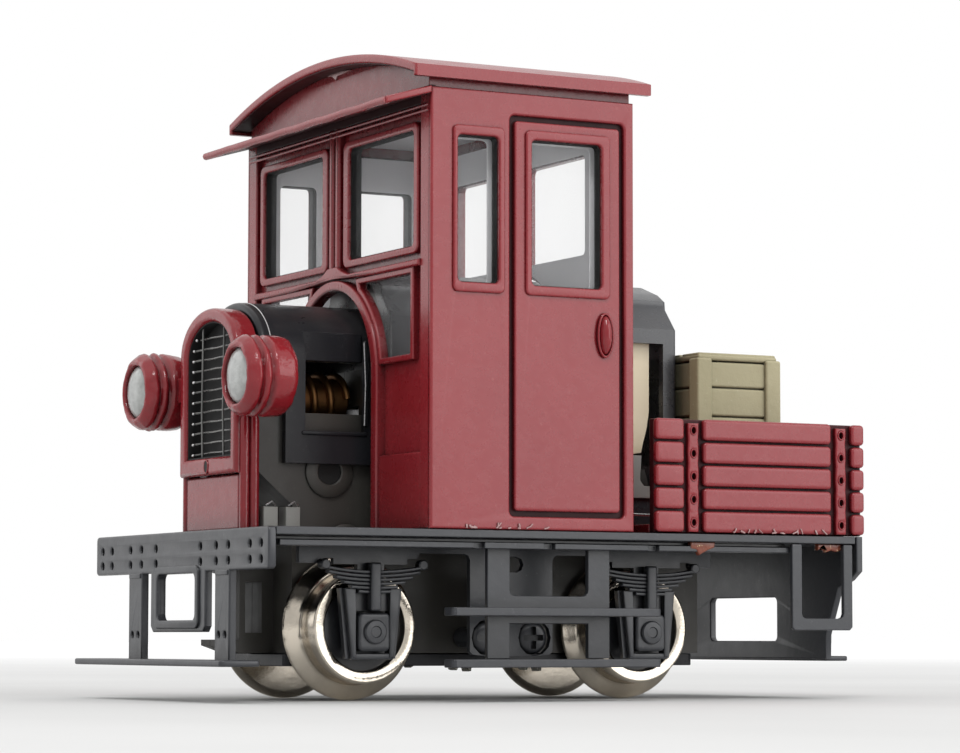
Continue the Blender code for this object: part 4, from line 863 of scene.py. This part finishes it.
def make_bed():
    boards = [(27.5, -10.4), (33.95, -10.4), (33.95, 10.4), (27.5, 10.4)]
    stands_for(plate("bed_floor_boards", [boards], "flat", DECK, 8.3, "maroon", 0.05), "load_bed")
    rows = [(DECK + row * PLANK_PITCH + 0.05, DECK + (row + 1) * PLANK_PITCH - 0.05)
            for row in range(PLANKS)]
    holes_z = [DECK + (row + 0.46) * PLANK_PITCH for row in range(PLANKS)]
    for name, side in SIDES:
        brick(f"bed_strip_{name}", (BED_FRONT, 27.7), layer(side, 4.36, 10.4), (DECK, 8.28), "maroon", 0.05)
        # the backing shows in the gaps between planks; its very dark maroon is painted shade
        brick(f"bed_backing_{name}", (BED_FRONT + 0.03, BED_REAR - 0.03), layer(side, 10.4, 10.86),
              (DECK, BED_TOP - 0.06), "maroon_deep", 0.08)
        for row, z in enumerate(rows):
            for number, x in enumerate(((BED_FRONT, 23.46), (24.64, 32.6), (33.9, BED_REAR))):
                brick(f"bed_plank_{name}_{row}_{number}", x, layer(side, 10.78, 11.2), z, "maroon", 0.14,
                      facing="side", corner=0.2)
            brick(f"bed_lining_{name}_{row}", (BED_FRONT + 0.1, BED_REAR - 0.85), layer(side, 10.28, 10.5),
                  z, "maroon", 0.08)
        for number, x in enumerate((24.05, 33.25)):
            points = [(x + 0.3 + 0.04 * math.sin(t * math.pi), low + t * (PLANK_PITCH - 0.02))
                      for low, _ in rows for t in (0.0, 0.25, 0.5, 0.75)]
            points = mirrored(points, x)
            holes = [circle(x, z, 0.15, 16, 0.2) for z in holes_z]
            side_plate(f"bed_stake_{name}_{number}", side, [points, *holes], (10.8, 11.12), "maroon_gloss",
                       outer=0.09)
            for row, z in enumerate(holes_z):
                loop = [(u, side * 11.12, v) for u, v in circle(x, z, 0.17, 16, 0.22)]
                wire(f"bed_stake_rim_{name}_{number}_{row}", loop, 0.045, "maroon_gloss", closed=True)
        for number, (start, end, foot) in enumerate(((24.0, 25.5, 6.7), (31.9, 33.5, 6.95))):
            torn = [(start, 7.4), (end, 7.4), (end - 0.05, 7.1), (end - 0.4, 6.98), (end - 0.75, foot + 0.12),
                    (start + 0.55, foot), (start + 0.35, foot + 0.3), (start, 7.05)]
            side_plate(f"bed_tab_{name}_{number}", side, [torn], (10.5, 10.9), "copper", 0.08, 0.08)
    for row, z in enumerate(rows):
        brick(f"bed_end_plank_{row}", (33.95, BED_REAR), (-10.4, 10.4), z, "maroon", 0.12, facing="end")
    for number in range(6):
        y = -10.2 + number * 3.42
        brick(f"bed_floor_plank_{number}", (27.55, 33.95), (y, y + 3.3), (8.2, 8.33), "maroon", 0.05)


def inset(span, depth):
    return (span[0] + depth, span[1] - depth)


def make_crate():
    x, y = (27.5, 32.85), (-6.0, 4.0)
    bottom, top = 8.36, 17.35
    stands_for(brick("crate_core", inset(x, 0.45), inset(y, 0.45), (bottom, top), "crate", 0.05), "crate")
    rows = (bottom, 9.85, 11.35, 12.85, 14.35, 15.92, top)
    for row, span in enumerate(zip(rows, rows[1:])):
        z = inset(span, 0.03)
        for end, v in (("near", (y[0] + 0.22, y[0] + 0.6)), ("far", (y[1] - 0.6, y[1] - 0.22))):
            brick(f"crate_plank_{end}_{row}", inset(x, 0.3), v, z, "crate", 0.12, facing="side")
        for end, u in (("front", (x[0] + 0.22, x[0] + 0.6)), ("rear", (x[1] - 0.6, x[1] - 0.22))):
            brick(f"crate_plank_{end}_{row}", u, inset(y, 0.3), z, "crate", 0.12, facing="end")
    for u, v in ((a, b) for a in x for b in y):
        bx = (u, u + 0.95) if u == x[0] else (u - 0.95, u)
        by = (v, v + 0.95) if v == y[0] else (v - 0.95, v)
        brick(f"crate_batten_{u:.0f}_{abs(v):.0f}", bx, by, (bottom, 17.5), "crate", 0.13)
    stands_for(brick("crate_lid_rim", inset(x, 0.16), inset(y, 0.16), (top + 0.03, 17.7), "crate", 0.12),
               "crate_lid")
    for number in range(5):
        low = y[0] + 0.15 + number * 1.95
        brick(f"crate_lid_board_{number}", inset(x, 0.2), (low + 0.1, low + 1.8), (17.6, 17.8), "crate", 0.08)


# ------------------------ frame

AXLE_X, AXLE_Z = (7.71, 23.96), 2.94
FRONT_FACE, SHEET = -0.15, 0.4


def make_headstocks():
    right = [(3.25, 2.68), (3.55, 2.98), (3.55, 5.73), (4.75, 5.73), (4.75, 1.1), (6.55, 1.1),
             (6.55, 5.73), (11.0, 5.73), (11.14, 5.79), (11.2, 5.93), (11.2, 7.6), (11.14, 7.74), (11.0, 7.8)]
    pocket = rectangle((-2.45, 2.45), (3.28, 5.65), 0.35)
    loops = [mirrored(right), pocket]
    for side in (-1, 1):
        loops += [circle(side * y, z, 0.2, 16) for y in (10.3, 8.98, 6.37, 4.87, 2.9) for z in (7.0, 6.22)]
        loops += [circle(side * y, 2.54, 0.17, 16) for y in (5.25, 6.02)]
    stands_for(plate("buffer_plate_front", loops, "end", FRONT_FACE, FRONT_FACE + SHEET, "black",
                     (0.09, 0.04)), "headstock_front")
    backing = rectangle((-11.0, 11.0), (5.85, 7.7))
    plate("buffer_backing_front", [backing], "end", FRONT_FACE + 0.22, FRONT_FACE + SHEET + 0.1,
          "black", 0.03)
    brick("board_front", (OVERALL_FRONT, 0.2), (-9.7, 9.7), (0.98, 1.3), "black", 0.09, corner=0.25)
    ring = [rectangle((-2.85, 2.85), (2.85, 6.05), 0.4), pocket]
    plate("coupling_pocket_rim", ring, "end", FRONT_FACE - 0.12, FRONT_FACE + 0.1, "black", (0.07, 0.0))
    for number, y in enumerate((-5.65, 5.65)):
        brick(f"leg_recess_rim_{number}", (FRONT_FACE - 0.06, FRONT_FACE + 0.1), (y - 0.75, y + 0.75),
              (5.5, 5.75), "black", 0.04, facing="end")
    right = [(8.2, 1.3), (8.25, 2.6), (9.4, 5.1), (10.5, 5.5), (11.2, 5.95), (11.2, 7.8)]
    window = rectangle((-3.42, 3.42), (2.27, 4.66), 0.3)
    stands_for(plate("buffer_plate_rear", [mirrored(right), window], "end", 34.15, 34.55, "black", 0.08),
               "headstock_rear")
    brick("board_rear", (34.2, 35.7), (-8.15, 8.15), (1.2, 1.47), "black", 0.08, corner=0.25)


def leaf(x, half, top, thick, sag=0.3, steps=14):
    """One spring leaf's outline, bowed down in the middle."""
    us = [-half + 2 * half * i / steps for i in range(steps + 1)]
    bow = [top - sag * (1 - (u / 3.0) ** 2) for u in us]
    upper = [(x + u, v) for u, v in zip(us, bow)]
    return upper + [(u, v - thick) for u, v in reversed(upper)]


def make_running_gear():
    eye = [(0, 0), (0.24, 0), (0.26, 0.05), (0.26, 0.5), (0.2, 0.56), (0, 0.56)]
    cover = [(0, 0.0), (0.62, 0.0), (0.62, 0.12), (0.55, 0.2), (0.3, 0.22), (0.26, 0.16), (0, 0.16)]
    for name, side in SIDES:
        for axle, x in zip(("front", "rear"), AXLE_X):
            end = f"{axle}_{name}"
            made = None
            for number in range(6):
                outline = leaf(x, 3.0 - 0.42 * number, 6.1 - 0.2 * number, 0.17)
                piece = side_plate(f"spring_leaf_{end}_{number}", side, [outline],
                                   (6.5, 6.98 - 0.01 * number), "black", 0.05, 0.05)
                made = made or piece
            stands_for(made, f"spring_{end}")
            brick(f"spring_buckle_{end}", (x - 0.29, x + 0.29), layer(side, 6.6, 7.14), (3.75, 6.2), "black",
                  0.1, facing="side")
            for number, u in enumerate((-2.75, 2.75)):
                lathe(f"spring_eye_{end}_{number}", eye, outward(side), (x + u, side * 6.45, 6.1), "black",
                      steps=24)
            stands_for(brick(f"axlebox_body_{end}", (x - 0.88, x + 0.88), layer(side, 6.12, 6.95),
                             (1.72, 3.66), "black", 0.14, facing="side", corner=0.25), f"axlebox_{end}")
            lathe(f"axlebox_cover_{end}", cover, outward(side), (x, side * 6.93, 2.7), "black", steps=40)
            for number, u in enumerate((-1.05, 1.05)):
                guide = [(x + u * 0.88, 1.4), (x + u * 1.12, 1.4), (x + u * 1.5, 4.9), (x + u * 0.9, 4.9)]
                side_plate(f"horn_guide_{end}_{number}", side, [guide], (6.42, 6.75), "black", 0.06, 0.06)
            brick(f"keeper_bar_{end}", (x - 1.2, x + 1.2), layer(side, 6.2, 6.7), (1.3, 1.62), "black", 0.07)


def make_wheels():
    rim = [(0.77, 0.0), (3.3, 0.0), (3.6, 0.03), (3.7, 0.1), (3.73, 0.19), (3.68, 0.3), (3.45, 0.44),
           (3.1, 0.56), (2.98, 0.64), (2.93, 0.74), (2.9, 1.3), (2.88, 2.0), (2.84, 2.1), (2.76, 2.15),
           (2.36, 2.15), (2.28, 2.11), (2.22, 2.0), (2.18, 1.62), (2.1, 1.55), (1.35, 1.52), (1.25, 1.6),
           (1.2, 1.72), (0.77, 1.72)]
    centre = [(0.7, 1.45), (2.24, 1.45), (2.24, 1.66), (2.2, 1.72), (0.7, 1.78)]
    for end, x in zip(("front", "rear"), AXLE_X):
        for name, side in SIDES:
            origin = (x, side * 3.7, AXLE_Z)
            stands_for(lathe(f"tyre_{end}_{name}", rim, outward(side), origin, "nickel", f"axle_{end}",
                             steps=128, angle=30), f"wheel_{end}_{name}")
            lathe(f"wheel_centre_{end}_{name}", centre, outward(side), origin, "black", f"axle_{end}",
                  steps=64)


def make_case_screws():
    middle = sum(AXLE_X) / 2
    head = [(0, 0.0), (0.55, 0.01), (0.76, 0.08), (0.86, 0.2), (0.88, 0.3), (0.88, 0.52), (0.5, 0.6),
            (0.5, 2.8), (0, 2.8)]
    wide, arm = 0.58, 0.15
    for number, side in enumerate((-1, 1)):
        x, z = middle + side * 1.37, 2.42
        made = lathe(f"screw_head_{number}", head, "y", (x, -6.36, z), "black", steps=48)
        carve(made, block_shape((x - wide, x + wide), (-7, -6.05), (z - arm, z + arm)),
              block_shape((x - arm, x + arm), (-7, -6.05), (z - wide, z + wide)))
        stands_for(made, f"case_screw_{number + 1}")


# ------------------------ the CAD nodes' finish

def dress(node, look):
    """Gives a CAD node its look and fine rounded edges, without touching its mesh."""
    obj = NODES[node]
    obj.data.materials.clear()
    obj.data.materials.append(look)
    weld = obj.modifiers.new("weld", "WELD")
    weld.merge_threshold = 1e-6
    bevel = obj.modifiers.new("edges", "BEVEL")
    bevel.width = 0.05 * MM
    bevel.segments = 2
    bevel.limit_method = "ANGLE"
    bevel.angle_limit = math.radians(40)
    bevel.harden_normals = True


# ------------------------ studio

WHITE = (1.0, 1.0, 1.0, 1.0)
LAMPS = (  # name, place in metres, size in metres, power in watts
    ("key_top", (-0.10, -0.18, 0.26), 0.05, 0.22),
    ("front_left", (-0.24, 0.3, 0.12), 0.3, 0.2),
    ("side_right", (0.24, -0.34, 0.12), 0.36, 0.8))


def make_world():
    """White to the camera; the light from it grows from below the horizon upwards."""
    world = bpy.data.worlds.new("studio")
    bpy.context.scene.world = world
    world.use_nodes = True
    nodes, link = world.node_tree.nodes, world.node_tree.links.new
    light, backdrop = nodes["Background"], nodes.new("ShaderNodeBackground")
    for shader in (light, backdrop):
        shader.inputs["Color"].default_value = WHITE
    backdrop.inputs["Strength"].default_value = 1.0
    direction, split, height, path, mix = (
        nodes.new(f"ShaderNode{kind}")
        for kind in ("TexCoord", "SeparateXYZ", "MapRange", "LightPath", "MixShader"))
    for socket, number in (("From Min", -0.1), ("From Max", 0.6), ("To Min", 0.45), ("To Max", 1.1)):
        height.inputs[socket].default_value = number
    link(direction.outputs["Generated"], split.inputs[0])
    link(split.outputs["Z"], height.inputs["Value"])
    link(height.outputs[0], light.inputs["Strength"])
    link(path.outputs["Is Camera Ray"], mix.inputs["Fac"])
    link(light.outputs[0], mix.inputs[1])
    link(backdrop.outputs[0], mix.inputs[2])
    link(mix.outputs[0], nodes["World Output"].inputs["Surface"])


def make_lights():
    middle = (CAD_LOW + CAD_HIGH) / 2
    for name, spot, size, power in LAMPS:
        lamp = bpy.data.lights.new(name, "AREA")
        lamp.energy = power
        lamp.size = size
        obj = enter(name, lamp)
        obj.location = spot
        obj.rotation_euler = (middle - obj.location).to_track_quat("-Z", "Y").to_euler()


def make_floor():
    """A pale disc just under the wheels, glowing towards white with distance."""
    shape = bmesh.new()
    bmesh.ops.create_circle(shape, cap_ends=True, segments=96, radius=3.0)
    mesh = to_mesh("floor", shape)
    look = Look("pale_floor", Roughness=0.8)
    look.shader.inputs["Emission Color"].default_value = WHITE
    distance = look.add("VectorMath", operation="LENGTH")
    look.link(look.place, distance.inputs[0])
    far = look.ramp(distance.outputs["Value"], 0.0, 1.0, 0.05, 0.5)
    near = look.mottled(look.noise(60.0), (0.58, 0.58, 0.575), (0.63, 0.63, 0.625))
    look.colour(look.blend(far, near, (0.0, 0.0, 0.0)))
    look.link(far, look.shader.inputs["Emission Strength"])
    mesh.materials.append(look.material)
    floor = enter("floor", mesh)
    floor.location.z = CAD_LOW.z - 0.02 * MM


CAMERA_LENS, CAMERA_PLACE = 124.84, (-0.08395, -0.15796, 0.00312)
CAMERA_TURN, CAMERA_TILT, CAMERA_ROLL = -28.15, 4.515, 0.082


def make_camera():
    """The photograph's angle: low, from the near front, looking slightly up."""
    data = bpy.data.cameras.new("camera")
    data.lens = CAMERA_LENS
    data.sensor_width = 36.0
    data.clip_start = 0.005
    camera = enter("camera", data)
    camera.location = CAMERA_PLACE
    turn = Matrix.Rotation(math.radians(CAMERA_TURN), 3, "Z")
    turn @= Matrix.Rotation(math.radians(90 + CAMERA_TILT), 3, "X")
    turn @= Matrix.Rotation(math.radians(CAMERA_ROLL), 3, "Z")
    camera.rotation_euler = turn.to_euler()
    bpy.context.scene.camera = camera


LOOKS = make_looks()
for part, slot_name in SLOTS.items():
    dress(part, LOOKS["flywheel" if part == "motor_rotor" else slot_name])
walls = [make_cab_side(*pair) for pair in SIDES]
stands_for(walls[0], "cab_body")
make_cab_front()
make_cab_rear()
make_roof()
make_radiator()
make_lamps()
make_motor_cover()
make_under_cover()
make_worm()
make_torn_paint()
make_bed()
make_crate()
make_headstocks()
make_running_gear()
make_wheels()
make_case_screws()
bpy.context.scene.view_settings.view_transform = "Standard"
make_world()
make_lights()
make_floor()
make_camera()
